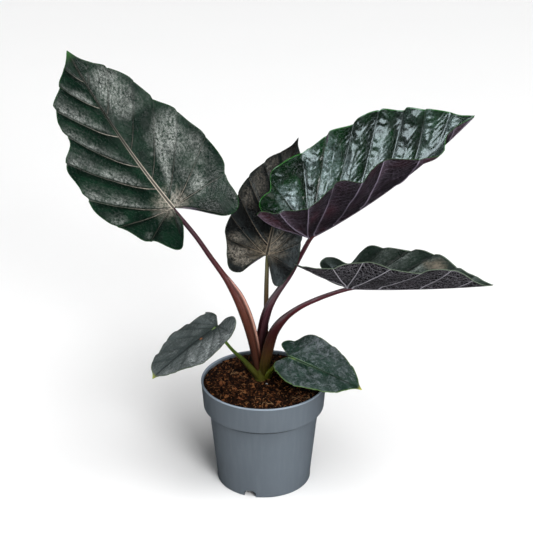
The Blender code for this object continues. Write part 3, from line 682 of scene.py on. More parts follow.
def stalk(key):
    """Points, faces, colours and grain of a stalk, from the crown to a little past its blade's base."""
    own = STALKS[key]
    leaf = LEAVES[key]
    _, line, tangent, _, up = midrib(leaf)
    seat = line[0] + tangent[0] * 0.5 - up[0] * (leaf["seat"] * 0.72 + 0.45)
    run_in = line[0] + tangent[0] * 9.0 - up[0] * (0.8 + leaf["rib"] * 0.45)
    top = own["stations"][-1][3]
    rings = [*own["stations"], (*seat, *[top * 0.9] * 3), (*run_in, top * 0.45, top * 0.45, top * 0.5)]
    curve = spline(rings, STALK_CURVE)
    length = run_along(curve[:, :3])[-1]
    count = round(length / STALK_STEP)
    curve = even(curve, count)
    ahead = unit(np.gradient(curve[:, :3], axis=0))
    lean = unit(np.array((*own["lean"], 0.0)))
    inner = unit(-lean - (ahead @ -lean)[:, None] * ahead)
    wide = np.cross(ahead, inner)
    theta = np.linspace(0, 2 * np.pi, RING, endpoint=False)
    out_r, in_r, half = curve[:, 3:4], curve[:, 4:5], curve[:, 5:6]
    depth = np.where(np.cos(theta) > 0, in_r, out_r) * np.cos(theta)
    width = half * np.sin(theta)
    share = np.linspace(0, 1, count)[:, None]

    # The sheath's wings overlap in a groove with a raised lip beside it
    off = (theta - own["meet"] + np.pi) % (2 * np.pi) - np.pi
    sheath = ramp(in_r, 2.9, 4.6)
    bite = sheath * (0.30 * bell(off, 0.15) - 0.09 * bell(off, 0.2, 0.42) - 0.05 * bell(off, 0.22, -0.5))
    wobble = 0.012 * np.sin(9 * theta + 3 * share) + 0.008 * np.sin(17 * theta - 2 * share)
    scale = (1 - bite + wobble)[..., None]
    beside = inner[:, None] * depth[..., None] + wide[:, None] * width[..., None]
    points = curve[:, None, :3] + beside * scale

    # Painted shade in the groove where the wings meet, painted highlights in two lines beside it, and on some
    # stalks a pale painted highlight along the sheath as well
    shade = 1 - 0.75 * sheath * bell(off, 0.13)
    painted_highlight = 1 + 2.0 * sheath * bell(off, 0.07, 0.36) + 1.0 * sheath * bell(off, 0.06, 0.75)
    colour = np.clip(spline(own["colours"], count), 0.001, 1)[:, None] * (shade * painted_highlight)[..., None]
    lit = sheath * bell(off, 0.10, 0.30) * ramp(share, 0.12, 0.25) * (1 - 0.6 * ramp(share, 0.6, 0.8))
    colour = colour + EDGE_LIGHT.get(key, 0.0) * lit[..., None] * EDGE_LIGHT_TONE
    grain = skin_grain(theta, share * length, 4)
    return points.reshape(-1, 3), tube(count, RING), opaque(np.clip(colour, 0, 1)), grain.reshape(-1, 3)


def crown():
    """Points, faces, colours and grain of the stem base that the stalks come out of."""
    profile = spline(CROWN_PROFILE, CROWN_ROWS)
    theta = np.linspace(0, 2 * np.pi, CROWN_RING, endpoint=False)
    r = np.maximum(profile[:, 0:1], 0.02) * (1 + 0.05 * np.sin(3 * theta + 1) + 0.03 * np.sin(7 * theta))
    z = profile[:, 1:2] + 0 * theta
    points = np.stack([CROWN_X + r * np.cos(theta), CROWN_Y + r * np.sin(theta), z], -1)
    brown = ramp(z, 105, 117)[..., None]
    grain = skin_grain(theta, z, 6)
    return (points.reshape(-1, 3), tube(len(profile), CROWN_RING, down=True),
            opaque(CROWN_GREEN * (1 - brown) + CROWN_BROWN * brown), grain.reshape(-1, 3))


def stalks(mat):
    chunks = []
    for n, key in enumerate(STALKS):
        points, faces, colour, grain = stalk(key)
        chunks.append((points, faces, colour, grain + n * 20))
    points, faces, tint, grain = merged([*chunks, crown()])
    ob = mesh_object("crown_with_stalks", points, faces, [mat], fields={"tint": tint, "grain": grain})
    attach(ob, "root")
    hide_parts("crown_and_stalks")


# Pot

def arc(cx, cz, r, start, end, count):
    turns = np.radians(np.linspace(start, end, count))
    return [(cx + r * math.cos(t), cz + r * math.sin(t)) for t in turns]


def pot_profile():
    """Radius and height, from the lip down the outside and up the inside."""
    low = FOOT_R + 0.25
    profile = arc(RIM_R - 1.0, RIM_Z - 1.0, 1.0, 165, -20, 12)
    profile += [(RIM_R - 0.35, RIM_Z - 2.6), (RIM_R - 0.42, RIM_Z - 3.4)]
    profile += [(BAND_FOOT_R + 1.4, RIM_Z - 12.0), (BAND_FOOT_R + 0.35, BAND_Z + 3.0)]
    profile += arc(BAND_FOOT_R - 0.9, BAND_Z + 1.1, 1.1, -5, -80, 6)
    profile += [(BODY_TOP_R + 2.0, BAND_Z - 0.35)]
    profile += arc(BODY_TOP_R + 0.9, BAND_Z - 1.2, -0.9, -95, 0, 6)
    profile += [(BODY_TOP_R - 0.05, BAND_Z - 6.0), (low + 0.05, 6.0)] + arc(low - 1.0, 1.0, 1.0, 0, -80, 6)
    profile += [(FOOT_R - FOOT_T, 0.0), (FOOT_R - FOOT_T, FLOOR_Z), (0.0, FLOOR_Z), (0.0, FLOOR_Z + WALL)]
    profile += [(FOOT_R - WALL, FLOOR_Z + WALL), (BODY_TOP_R - WALL, BAND_Z - 1.0)]
    return profile + [(BAND_FOOT_R - WALL, BAND_Z + 2.2), (RIM_R - LIP_T - 0.4, RIM_Z - 6)]


def pot(mat):
    profile = pot_profile()
    mesh = bpy.data.meshes.new("pot_shell")
    edges = [(i, (i + 1) % len(profile)) for i in range(len(profile))]
    mesh.from_pydata([(r * MM, 0.0, z * MM) for r, z in profile], edges, [])
    mesh.materials.append(mat)
    ob = linked("pot_shell", mesh)
    ob.location = AXIS
    screw = ob.modifiers.new("turn", "SCREW")
    screw.steps = POT_STEPS
    screw.render_steps = POT_STEPS
    screw.use_merge_vertices = True
    screw.merge_threshold = 0.00001
    screw.use_normal_calculate = True
    notches = [NOTCH_TURN + 2 * math.pi / NOTCHES * i - math.pi / 2 for i in range(NOTCHES)]
    cutters = [notch_cutter(turn) for turn in notches]
    cutters += [drain_cutter(math.radians(36.0 + 360.0 / DRAINS * i)) for i in range(DRAINS)]
    for tool in cutters:
        cut = ob.modifiers.new("cut", "BOOLEAN")
        cut.operation = "DIFFERENCE"
        cut.solver = "EXACT"
        cut.object = tool
    bpy.context.view_layer.update()
    ob.data = bpy.data.meshes.new_from_object(ob.evaluated_get(bpy.context.evaluated_depsgraph_get()))
    ob.modifiers.clear()
    for tool in cutters:
        bpy.data.objects.remove(tool, do_unlink=True)
    ob.data.polygons.foreach_set("use_smooth", np.full(len(ob.data.polygons), True))
    ob.data.set_sharp_from_angle(angle=POT_SHARP)
    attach(ob, "root")
    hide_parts("pot")


def cutter(bm, radius, turn, z):
    mesh = bpy.data.meshes.new("cutter")
    bm.to_mesh(mesh)
    bm.free()
    ob = linked("cutter", mesh)
    ob.location = AXIS + Vector((radius * math.cos(turn), radius * math.sin(turn), z)) * MM
    ob.rotation_euler = (0.0, 0.0, turn)
    return ob


def notch_cutter(turn):
    bm = bmesh.new()
    bmesh.ops.create_cube(bm, size=1.0)
    bmesh.ops.scale(bm, vec=[s * MM for s in (NOTCH_DEPTH, NOTCH_W, 2 * NOTCH_H)], verts=bm.verts)
    ends = [(e, *(v.co for v in e.verts)) for e in bm.edges]
    roof = [e for e, a, b in ends if abs(a.z - b.z) < 1e-6 and a.z > 0 and abs(a.x - b.x) > 1e-6]
    bmesh.ops.bevel(bm, geom=roof, offset=NOTCH_ROUND * MM, segments=4, affect="EDGES")
    return cutter(bm, FOOT_R - 1.0, turn, 0.0)


def drain_cutter(turn):
    bm = bmesh.new()
    bmesh.ops.create_cone(
        bm, cap_ends=True, segments=36, radius1=DRAIN_R * MM, radius2=DRAIN_R * MM, depth=10 * MM)
    return cutter(bm, DRAIN_RING_R, turn, FLOOR_Z)


# Growing medium

def soil_height(x, y):
    spot = Vector((x, y, 0.0))
    lump = 1.3 * noise.noise(spot * 0.095) + 0.8 * noise.noise(spot * 0.21)
    lump += 0.9 * noise.noise(spot * 0.5) + 0.55 * noise.noise(spot * 1.1)
    away = math.hypot(x - CROWN_X, y - CROWN_Y)
    rim = max(0.0, (math.hypot(x, y) - 50.0) / 7.0)
    return SOIL_Z + lump - SOIL_DIP * math.exp(-(away / SOIL_DIP_REACH) ** 2) - 0.8 * rim


def soil(mat):
    edge = BAND_FOOT_R - 0.3
    turns = [2 * math.pi * n / SOIL_TURNS for n in range(SOIL_TURNS)]
    points = [(0.0, 0.0, soil_height(0.0, 0.0))]
    for i in range(1, SOIL_RINGS + 1):
        r = edge * i / SOIL_RINGS
        for x, y in [(r * math.cos(a), r * math.sin(a)) for a in turns]:
            points.append((x, y, soil_height(x, y)))
    side = [(BAND_FOOT_R - WALL - 0.4, BAND_Z + 3.0), (BODY_TOP_R - WALL - 0.4, BAND_Z - 0.4),
            (FOOT_R - WALL - 0.3, FLOOR_Z + WALL + 0.3)]
    points += [(r * math.cos(a), r * math.sin(a), z) for r, z in side for a in turns]
    faces = [(0, 1 + n, 1 + (n + 1) % SOIL_TURNS) for n in range(SOIL_TURNS)]
    faces += tube(SOIL_RINGS + len(side), SOIL_TURNS, start=1, down=True, first_cap=False)
    ob = mesh_object("growing_medium_bed", points, faces, [mat])
    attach(ob, "root")
    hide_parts("growing_medium")


def joined(name, bits, mat, smooth):
    """Bits of litter, each with one colour, as one piece."""
    chunks = [(points, faces, np.tile((*colour, 1.0), (len(points), 1))) for points, faces, colour in bits]
    points, faces, tint = merged(chunks)
    ob = mesh_object(name, points, faces, [mat], fields={"tint": tint}, smooth=smooth)
    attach(ob, "root")


def ball(detail):
    bm = bmesh.new()
    bmesh.ops.create_icosphere(bm, subdivisions=detail, radius=1.0)
    verts = np.array([v.co for v in bm.verts])
    faces = [tuple(v.index for v in f.verts) for f in bm.faces]
    bm.free()
    return verts, faces


def soil_spot(rng, clear=8.5):
    """A random place on the medium, clear of the crown."""
    while True:
        r = LITTER_R * math.sqrt(rng.random())
        a = rng.uniform(0, 2 * math.pi)
        x, y = r * math.cos(a), r * math.sin(a)
        if math.hypot(x - CROWN_X, y - CROWN_Y) > clear:
            return x, y


def spun(rng, axis, low=0, high=6.28):
    return Matrix.Rotation(rng.uniform(low, high), 3, axis)


def crumb(rng, shape, x, y, size, flat, colour, sink=0.3):
    verts, faces = shape
    turn = np.array(spun(rng, "X") @ spun(rng, "Y"))
    start = Vector((rng.uniform(0, 90), rng.uniform(0, 90), 0))
    swell = np.array([1 + 0.75 * noise.noise(Vector(v) * 1.6 + start) for v in verts])[:, None]
    body = (verts * swell) @ turn * np.array([1.25, rng.uniform(0.40, 0.90), flat])
    spin = np.array(spun(rng, "Z") @ spun(rng, "X", -0.5, 0.5))
    z = soil_height(x, y) + size * flat * (1 - 2 * sink)
    return body @ spin * size + np.array([x, y, z]), faces, colour


def fibre(rng, x, y, length, radius, colour):
    """A bent fibre that lies on the medium, or nothing where it would leave the pot too soon."""
    turn = rng.uniform(0, 2 * math.pi)
    bend = rng.uniform(-1.6, 1.6)
    hop = rng.uniform(0.2, 1.8)
    spots = []
    for i in range(FIBRE_BENDS):
        if math.hypot(x, y) > FIBRE_REACH:
            break
        high = radius + hop * math.sin(math.pi * i / (FIBRE_BENDS - 1)) * 0.8
        spots.append((x, y, soil_height(x, y) + high + rng.uniform(-0.15, 0.15)))
        turn += bend / FIBRE_BENDS + rng.uniform(-0.25, 0.25)
        x += math.cos(turn) * length / FIBRE_BENDS
        y += math.sin(turn) * length / FIBRE_BENDS
    if len(spots) < 4:
        return None
    line = spline(spots, FIBRE_ROWS)
    ahead = unit(np.gradient(line, axis=0))
    side = unit(np.cross(ahead, (0, 0, 1.0)), 1e-9)
    top = np.cross(side, ahead)
    share = np.linspace(0, 1, len(line))
    r = radius * (0.35 + 0.65 * np.clip(np.sin(math.pi * share), 0, 1) ** 0.5)[:, None, None]
    a = 2 * math.pi * np.arange(FIBRE_SIDES)[:, None] / FIBRE_SIDES
    points = line[:, None] + side[:, None] * r * np.cos(a) + top[:, None] * r * np.sin(a)
    return points.reshape(-1, 3), tube(len(line), FIBRE_SIDES), colour


def soil_litter(mat):
    rng = random.Random(11)
    small = ball(1)
    large = ball(2)
    crumbs = []
    for _ in range(CRUMBS):
        x, y = soil_spot(rng)
        size = 0.45 + 0.85 * rng.random() ** 1.8
        crumbs.append(crumb(rng, small, x, y, size, rng.uniform(0.55, 1.0), rng.choice(CRUMB_TONES), 0.15))
    for _ in range(LUMPS):
        x, y = soil_spot(rng, 12.0)
        tone = rng.choice(CRUMB_TONES[1:])
        crumbs.append(crumb(rng, large, x, y, rng.uniform(1.4, 2.2), rng.uniform(0.4, 0.7), tone))
    for x, y, size in BARK:
        crumbs.append(crumb(rng, large, x, y, size, 0.6, BARK_TONE))
    joined("medium_crumbs", crumbs, mat, False)
    fibres = []
    while len(fibres) < FIBRES:
        x, y = soil_spot(rng)
        made = fibre(rng, x, y, rng.uniform(3, 9), rng.uniform(0.12, 0.26), rng.choice(FIBRE_TONES))
        if made:
            fibres.append(made)
    for x, y in [spot for spot in PALE_FIBRES for _ in range(FIBRES_A_SPOT)]:
        made = fibre(rng, x + rng.uniform(-4, 4), y + rng.uniform(-3, 3), rng.uniform(6, 13),
                     rng.uniform(0.16, 0.28), PALE_FIBRE_TONE)
        if made:
            fibres.append(made)
    joined("medium_fibres", fibres, mat, True)
    grains = [crumb(rng, large, x, y, rng.uniform(0.7, 1.2), 0.9, PERLITE_TONE, 0.1) for x, y in PERLITE]
    joined("perlite_grains", grains, mat, True)


# Materials

class Value:
    """An output of a node, with the sums that the materials need."""

    def __init__(self, graph, socket):
        self.graph = graph
        self.socket = socket

    def __add__(self, other):
        return self.graph.math("ADD", self, other)

    def __sub__(self, other):
        return self.graph.math("SUBTRACT", self, other)

    def __mul__(self, other):
        return self.graph.math("MULTIPLY", self, other)

    def __truediv__(self, other):
        return self.graph.math("DIVIDE", self, other)

    def __abs__(self):
        return self.graph.math("ABSOLUTE", self)

    def fraction(self):
        return self.graph.math("FRACT", self)

    def clamped(self):
        """The same sum, held between 0 and 1."""
        self.socket.node.use_clamp = True
        return self

    def ease(self, low, high, start=0.0, end=1.0):
        """From start where the value is low to end where it is high, smooth between."""
        inputs = {"Value": self, "From Min": low, "From Max": high, "To Min": start, "To Max": end}
        return self.graph.node("ShaderNodeMapRange", 0, inputs, interpolation_type="SMOOTHSTEP")

    def fade(self, low, high, start=1.0):
        """From start where the value is low to 0 where it is high."""
        return self.ease(low, high, start, 0.0)


class Graph:
    """A few short calls for building a node material, which paints one tone over another."""

    def __init__(self, name):
        self.mat = bpy.data.materials.new(name)
        self.mat.use_nodes = True
        self.shader = self.mat.node_tree.nodes["Principled BSDF"]
        self.colour = None

    def put(self, socket, value):
        if isinstance(value, Value):
            self.mat.node_tree.links.new(value.socket, socket)
        elif isinstance(value, tuple) and socket.type == "RGBA":
            socket.default_value = (*value, 1.0)
        else:
            socket.default_value = value

    def node(self, kind, out, inputs, **props):
        made = self.mat.node_tree.nodes.new(kind)
        for key, value in props.items():
            setattr(made, key, value)
        for key, value in inputs.items():
            self.put(made.inputs[key], value)
        return Value(self, made.outputs[out])

    def math(self, op, *terms):
        return self.node("ShaderNodeMath", 0, dict(enumerate(terms)), operation=op)

    def vector(self, op, *terms, out="Vector"):
        return self.node("ShaderNodeVectorMath", out, dict(enumerate(terms)), operation=op)

    def mix(self, amount, a, b):
        return self.node("ShaderNodeMix", 2, {0: amount, 6: a, 7: b}, data_type="RGBA")

    def field(self, name, out="Fac"):
        return self.node("ShaderNodeAttribute", out, {}, attribute_name=name)

    def position(self):
        return self.node("ShaderNodeNewGeometry", "Position", {})

    def axis(self, vector, name):
        return self.node("ShaderNodeSeparateXYZ", name, {0: vector})

    def joined(self, x, y, z=0.0):
        return self.node("ShaderNodeCombineXYZ", 0, {0: x, 1: y, 2: z})

    def noise(self, vector, scale, detail=3.0, roughness=0.5, distortion=0.0):
        look = {"Scale": scale, "Detail": detail, "Roughness": roughness, "Distortion": distortion}
        return self.node("ShaderNodeTexNoise", "Fac", {"Vector": vector, **look})

    def cells(self, vector, scale, feature="DISTANCE_TO_EDGE"):
        inputs = {"Vector": vector, "Scale": scale}
        return self.node("ShaderNodeTexVoronoi", "Distance", inputs, feature=feature)

    def bump(self, height, strength, distance):
        inputs = {"Strength": strength, "Distance": distance, "Height": height}
        return self.node("ShaderNodeBump", "Normal", inputs)

    def paint(self, tone, amount=1.0):
        """Lay a tone over the colour so far."""
        self.colour = tone if self.colour is None else self.mix(amount, self.colour, tone)

    def finish(self, roughness, normal=None, film=None, **uniform):
        inputs = {"Base Color": self.colour, "Roughness": roughness, "Normal": normal, "Coat Normal": film}
        for name, value in inputs.items():
            if value is not None:
                self.put(self.shader.inputs[name], value)
        for name, value in uniform.items():
            self.shader.inputs[name.replace("_", " ")].default_value = value
        return self.mat


class Veins:
    """Side veins, midrib, fine branches and the net between, each 0 to 1, from the blade's own fields."""

    def __init__(self, g):
        self.place = g.field("place", "Vector")
        self.flat_mm = g.vector("MULTIPLY", self.place, (1000.0, 1000.0, 0.0))
        self.hub = g.vector("LENGTH", self.flat_mm, out="Value")
        self.share = g.field("share")
        self.phase = g.field("phase")
        self.reach = g.field("reach")
        gap = g.field("gap")
        middle = g.field("middle")
        phase = self.phase + (g.noise(self.place, 60.0) - 0.5) * 0.05
        self.turn = phase.fraction()
        self.nearest = abs((phase + 0.5).fraction() - 0.5)
        off = self.nearest * gap
        away = middle.ease(0.6, 2.5)
        self.side = off.fade(0.10, self.share * -0.22 + 0.50) * away
        self.flank = off.fade(0.4, 1.7) * away
        self.ridge = off.fade(0.2, self.share * -0.45 + 1.00) * away
        wide = g.field("along") * -1.5 + 2.1
        self.rib = middle.fade(wide * 0.8, wide)
        self.core = middle.fade(wide * 0.40, wide * 0.65)
        self.groove = middle.fade(0.9, 1.9)
        cycle = (self.reach + off * 0.75 + g.noise(self.place, 70.0, 2.0) * 3.0) / BRANCH_GAP
        branch_off = abs(cycle.fraction() - 0.5)
        self.branch = branch_off.fade(0.015, 0.075) * off.ease(0.4, 1.4) * gap.ease(5.0, 12.0)
        self.net = g.cells(self.place, 480.0).fade(0.02, 0.12)


def toned(colour, factor):
    return tuple(factor * c for c in colour)


def upper_material(name, dark, light, shine, vein, roughness, rim, tip=None, mottle=0.0, painted_highlight=0.0, hub_highlight_tone=None,
                   vein_amount=0.6, rib_amount=0.85, valley=0.7, brushed=(9.0, 0.16), coat=0.0, grit=0.0002,
                   gloss=0.35, spots=()):
    g = Graph(name)
    m = Veins(g)
    # A darker copy of the plain colour, used below for painted shade and for the fine dark net
    deep = toned(dark, 0.35)
    painted_light = g.field("painted_light")
    along = g.field("along")
    grain = g.noise(m.place, 420.0, 3.0, 0.65)
    streak = g.noise(g.joined(m.phase * brushed[0], m.reach * brushed[1]), 1.0, 4.0, 0.65, 0.4)
    patchy = streak * 0.42 + grain * 0.42 + g.noise(m.place, 110.0, 3.0, 0.6, 0.8) * 0.16
    g.paint(dark)
    g.paint(light, g.noise(m.place, 55.0, 4.0, 0.55).ease(0.35, 0.68))
    # A faint grain of painted sheen over the whole skin
    g.paint(toned(shine, 0.45), grain.ease(0.50, 0.72, 0.0, 0.16))
    # Painted shade where the painted light field is below 0
    g.paint(deep, painted_light.fade(-1.0, 0.0, 0.85))
    # Painted sheen where the painted light field is above 0, broken up by noise and fainter on the fine
    # branches
    painted_sheen_mask = (painted_light * patchy.ease(0.39, 0.61, 0.03, 1.0)).clamped()
    painted_sheen_mask = painted_sheen_mask * g.noise(m.place, 900.0, 2.0, 0.6).ease(0.34, 0.60, 0.45, 1.0)
    g.paint(shine, (painted_sheen_mask * m.branch.ease(0.0, 1.0, 1.0, 0.55)).clamped())
    if mottle:
        g.paint(toned(shine, 1.5), g.noise(m.place, 150.0, 5.0, 0.75, 1.0).ease(0.50, 0.60) * mottle)
    g.paint(deep, m.net * 0.30)
    # Painted shade in the valley beside each side vein and in the midrib's groove
    g.paint(deep, m.flank * m.share.ease(0.3, 0.8, valley, 0.4 * valley))
    g.paint(deep, m.groove * min(0.85, 1.2 * valley))
    # A painted highlight around the hub, between the veins, fainter on the lobes
    hub_highlight = m.hub.fade(5.0, 26.0) * m.nearest.ease(0.06, 0.22) * patchy.ease(0.42, 0.58, 0.10, 1.0)
    hub_highlight = hub_highlight * g.axis(m.place, "X").ease(-0.012, 0.003, 0.15, 1.0)
    g.paint(hub_highlight_tone or vein, hub_highlight * painted_highlight)
    broken = g.noise(m.place, 210.0, 3.0, 0.7).ease(0.34, 0.56, 0.35, 1.0)
    lines = m.side * broken * g.field("strength") * m.share.ease(0.12, 0.65, 1.0, 0.2)
    g.paint(vein, lines * vein_amount)
    g.paint(vein, m.rib * along.ease(0.15, 0.6, rib_amount, 0.08))
    # Painted shade down the groove between the midrib's pale lines
    g.paint(deep, m.core * 0.85)
    for x, y, size, tone in spots:
        away = g.vector("DISTANCE", m.flat_mm, (x, y, 0.0), out="Value") + g.noise(m.place, 300.0) * size
        g.paint(tone, away.fade(size * 0.6, size * 1.8, 0.9) * patchy.ease(0.38, 0.56, 0.2, 1.0))
    g.paint(rim, (g.field("edge") + g.noise(m.place, 160.0) * -1.2).fade(-0.6, 0.7, 0.8))
    if tip:
        g.paint(tip, along.ease(0.93, 1.0, 0.0, 0.9))
    rough_skin = g.noise(m.place, 70.0, 4.0).ease(0.3, 0.7, roughness - 0.05, roughness + 0.08)
    rough_skin = rough_skin + m.side * 0.15
    normal = g.bump(m.net * -0.5 + m.branch * -0.9 + grain + streak * 2.4, 1.0, grit)
    film = g.bump(streak + g.noise(m.place, 260.0, 2.0), 1.0, 0.00022) if coat else None
    return g.finish(rough_skin, normal, film, Specular_IOR_Level=gloss, Coat_Weight=coat, Coat_Roughness=0.13)


def under_material(name, dark, light, vein, roughness, rim, net_amount=0.25, gloss=0.12, painted_lit_flank=0.24,
                   flush=None):
    g = Graph(name)
    m = Veins(g)
    net = g.cells(m.place, 380.0).fade(0.01, 0.065)
    crease = g.noise(g.joined(m.phase * 4.0, m.reach * 0.5), 1.0, 4.0, 0.65, 0.8)
    g.paint(dark)
    g.paint(light, g.noise(m.place, 45.0, 4.0, 0.6).ease(0.35, 0.68))
    if flush:
        g.paint(flush, g.noise(m.place, 22.0, 3.0).ease(0.50, 0.66, 0.0, 0.8))
    # A painted highlight on the near flank of each vein and painted shade on its far flank
    g.paint(vein, m.turn.fade(0.0, 0.35, painted_lit_flank) * crease.ease(0.38, 0.62, 0.3, 1.0))
    g.paint(toned(dark, 0.4), m.turn.ease(0.50, 0.92, 0.0, 0.85))
    # Painted shade in the troughs of the creases, and pale lines along their crests
    g.paint(toned(dark, 0.3), crease.fade(0.34, 0.48, 0.85))
    g.paint(vein, crease.ease(0.54, 0.66, 0.0, 1.2 * net_amount))
    g.paint(vein, g.noise(m.place, 520.0, 3.0, 0.65).ease(0.50, 0.75, 0.0, net_amount))
    g.paint(vein, net * (1.4 * net_amount))
    g.paint(vein, m.branch * (1.5 * net_amount))
    g.paint(vein, m.ridge * (g.field("strength") * 0.95))
    g.paint(vein, m.rib * 0.45)
    g.paint(rim, g.field("edge").fade(0.1, 0.9, 0.8))
    normal = g.bump(net * 0.6 + m.branch * 1.2 + crease * 1.5, 0.8, 0.00018)
    return g.finish(roughness, normal, Specular_IOR_Level=gloss)


def stalk_material():
    g = Graph("stalk_skin")
    tint = g.field("tint", "Color")
    grain = g.field("grain", "Vector")
    streak = g.noise(g.vector("MULTIPLY", grain, (1.6, 1.6, 0.12)), 4.0, 4.0, 0.6)
    cloud = g.noise(g.vector("MULTIPLY", grain, (0.5, 0.5, 0.8)), 2.0, 3.0, 0.6)
    dots = g.cells(g.vector("MULTIPLY", grain, (0.9, 0.9, 1.5)), 1.1, "F1")
    g.paint(g.mix(0.35, tint, (0.01, 0.006, 0.006)))
    g.paint(tint, streak.ease(0.35, 0.7))
    g.paint(g.mix(0.35, tint, (0.45, 0.24, 0.16)), streak.ease(0.60, 0.80, 0.0, 0.40))
    g.paint(g.mix(0.5, tint, (0.02, 0.008, 0.012)), cloud.ease(0.35, 0.7, 0.0, 0.4))
    g.paint((0.008, 0.004, 0.005), dots.fade(0.10, 0.17, 0.75))
    normal = g.bump(streak + g.noise(grain, 30.0, 3.0) * 0.3, 0.6, 0.0004)
    return g.finish(streak.ease(0.3, 0.7, 0.26, 0.40), normal, Specular_IOR_Level=0.4)


def pot_material():
    g = Graph("slate_blue_plastic")
    place = g.position()
    height = g.axis(place, "Z")
    cloud = g.noise(place, 14.0, 4.0, 0.6)
    flow = g.noise(g.vector("MULTIPLY", place, (1.0, 1.0, 0.08)), 260.0, 3.0, 0.6)
    scuff = g.noise(g.vector("MULTIPLY", place, (1.0, 1.0, 5.0)), 45.0, 6.0, 0.75)
    g.paint((0.092, 0.112, 0.133))
    g.paint((0.102, 0.124, 0.147), cloud.ease(0.3, 0.7))
    g.paint((0.15, 0.175, 0.20), flow.ease(0.40, 0.75, 0.0, 0.20))
    g.paint((0.20, 0.22, 0.24), scuff.ease(0.62, 0.75, 0.0, 0.18))
    # A painted highlight on the lip and a painted shadow line in the crease below the band, which fades to
    # the sides
    g.paint((0.29, 0.35, 0.42), abs(height - (RIM_Z - 0.6) * MM).fade(0.0004, 0.0011, 0.60))
    crease = abs(height - (BAND_Z - 1.9) * MM).fade(0.0015, 0.0020, 0.90)
    g.paint((0.020, 0.025, 0.031), crease * abs(g.axis(place, "X") - POT_X).ease(0.022, 0.048, 1.0, 0.1))
    normal = g.bump(g.noise(place, 1500.0, 2.0, 0.6) + flow * 0.35, 0.30, 0.00006)
    return g.finish(cloud.ease(0.3, 0.7, 0.44, 0.56), normal, Specular_IOR_Level=0.45)


def bed_material():
    g = Graph("coir_bed")
    place = g.position()
    bits = g.cells(place, 520.0, "F1")
    fine = g.noise(place, 1300.0, 4.0, 0.7)
    g.paint((0.004, 0.002, 0.0015))
    g.paint((0.025, 0.010, 0.005), g.noise(place, 160.0, 5.0, 0.7).ease(0.38, 0.62))
    g.paint((0.15, 0.062, 0.026), bits.fade(0.12, 0.30, 0.75))
    g.paint((0.24, 0.11, 0.05), fine.ease(0.62, 0.78, 0.0, 0.5))
    return g.finish(0.92, g.bump(fine - bits, 1.0, 0.0009), Specular_IOR_Level=0.05)


def litter_material():
    g = Graph("coir_litter")
    tint = g.field("tint", "Color")
    place = g.position()
    fine = g.noise(place, 1600.0, 4.0, 0.7)
    g.paint(g.mix(0.6, tint, (0.01, 0.005, 0.003)))
    g.paint(tint, fine.ease(0.35, 0.65))
    g.paint(g.mix(0.7, tint, (0.008, 0.004, 0.003)), g.noise(place, 420.0, 3.0, 0.6).fade(0.35, 0.7, 0.35))
    return g.finish(0.9, g.bump(fine, 0.8, 0.0005), Specular_IOR_Level=0.08)


def floor_material():
    g = Graph("pale_floor")
    g.paint((0.92, 0.92, 0.92))
    g.paint((0.94, 0.94, 0.94), g.noise(g.position(), 3.0, 2.0))
    return g.finish(0.9, Specular_IOR_Level=0.1)


# Stage

def area_light(name, place, aim, size, power, colour=(1.0, 1.0, 1.0)):
    data = bpy.data.lights.new(name, "AREA")
    data.shape = "RECTANGLE"
    data.size, data.size_y = size
    data.energy = power
    data.color = colour
    ob = linked(name, data)
    ob.location = place
    ob.rotation_euler = (Vector(aim) - Vector(place)).to_track_quat("-Z", "Y").to_euler()
    return ob


def stage():
    bm = bmesh.new()
    bmesh.ops.create_grid(bm, x_segments=4, y_segments=4, size=6.0)
    mesh = bpy.data.meshes.new("floor")
    bm.to_mesh(mesh)
    bm.free()
    mesh.materials.append(floor_material())
    floor = linked("floor", mesh)
    floor.visible_glossy = False
    # Only the camera sees the pale surround, the lights do all the lighting
    world = bpy.data.worlds.new("studio")
    world.use_nodes = True
    background = world.node_tree.nodes["Background"]
    background.inputs["Color"].default_value = (1.0, 1.0, 1.0, 1.0)
    background.inputs["Strength"].default_value = 0.95
    world.cycles_visibility.diffuse = False
    world.cycles_visibility.glossy = False
    bpy.context.scene.world = world
    bpy.context.scene.view_settings.view_transform = "Standard"
    aim = (0.0, 0.0, 0.25)
    area_light("key", (1.30, -2.90, 1.75), aim, (1.3, 1.3), 95.0)
    area_light("top", (-0.10, 0.10, 2.00), aim, (0.9, 0.9), 3.5)
    left = area_light("left", (-2.60, -0.55, 1.75), aim, (2.1, 1.8), 140.0, (0.80, 0.95, 1.0))
    left.visible_diffuse = False
    sun = bpy.data.lights.new("sky", "SUN")
    sun.energy = 2.9
    sun.angle = math.radians(60.0)
    sky = linked("sky", sun)
    sky.rotation_euler = (math.radians(18.0), math.radians(12.0), 0.0)
    sky.visible_glossy = False


def camera():
    data = bpy.data.cameras.new("camera")
    data.sensor_width = SENSOR
    data.lens = VIEW_FOCAL_PX * SENSOR / PHOTO_PX
    data.clip_start = 0.05
    data.clip_end = 30.0
    ob = linked("camera", data)
    back = Vector((0.0, -math.cos(VIEW_PITCH), math.sin(VIEW_PITCH)))
    ob.location = VIEW_TARGET + back * VIEW_DISTANCE
    ob.rotation_euler = (math.pi / 2 - VIEW_PITCH, 0.0, 0.0)
    bpy.context.scene.camera = ob


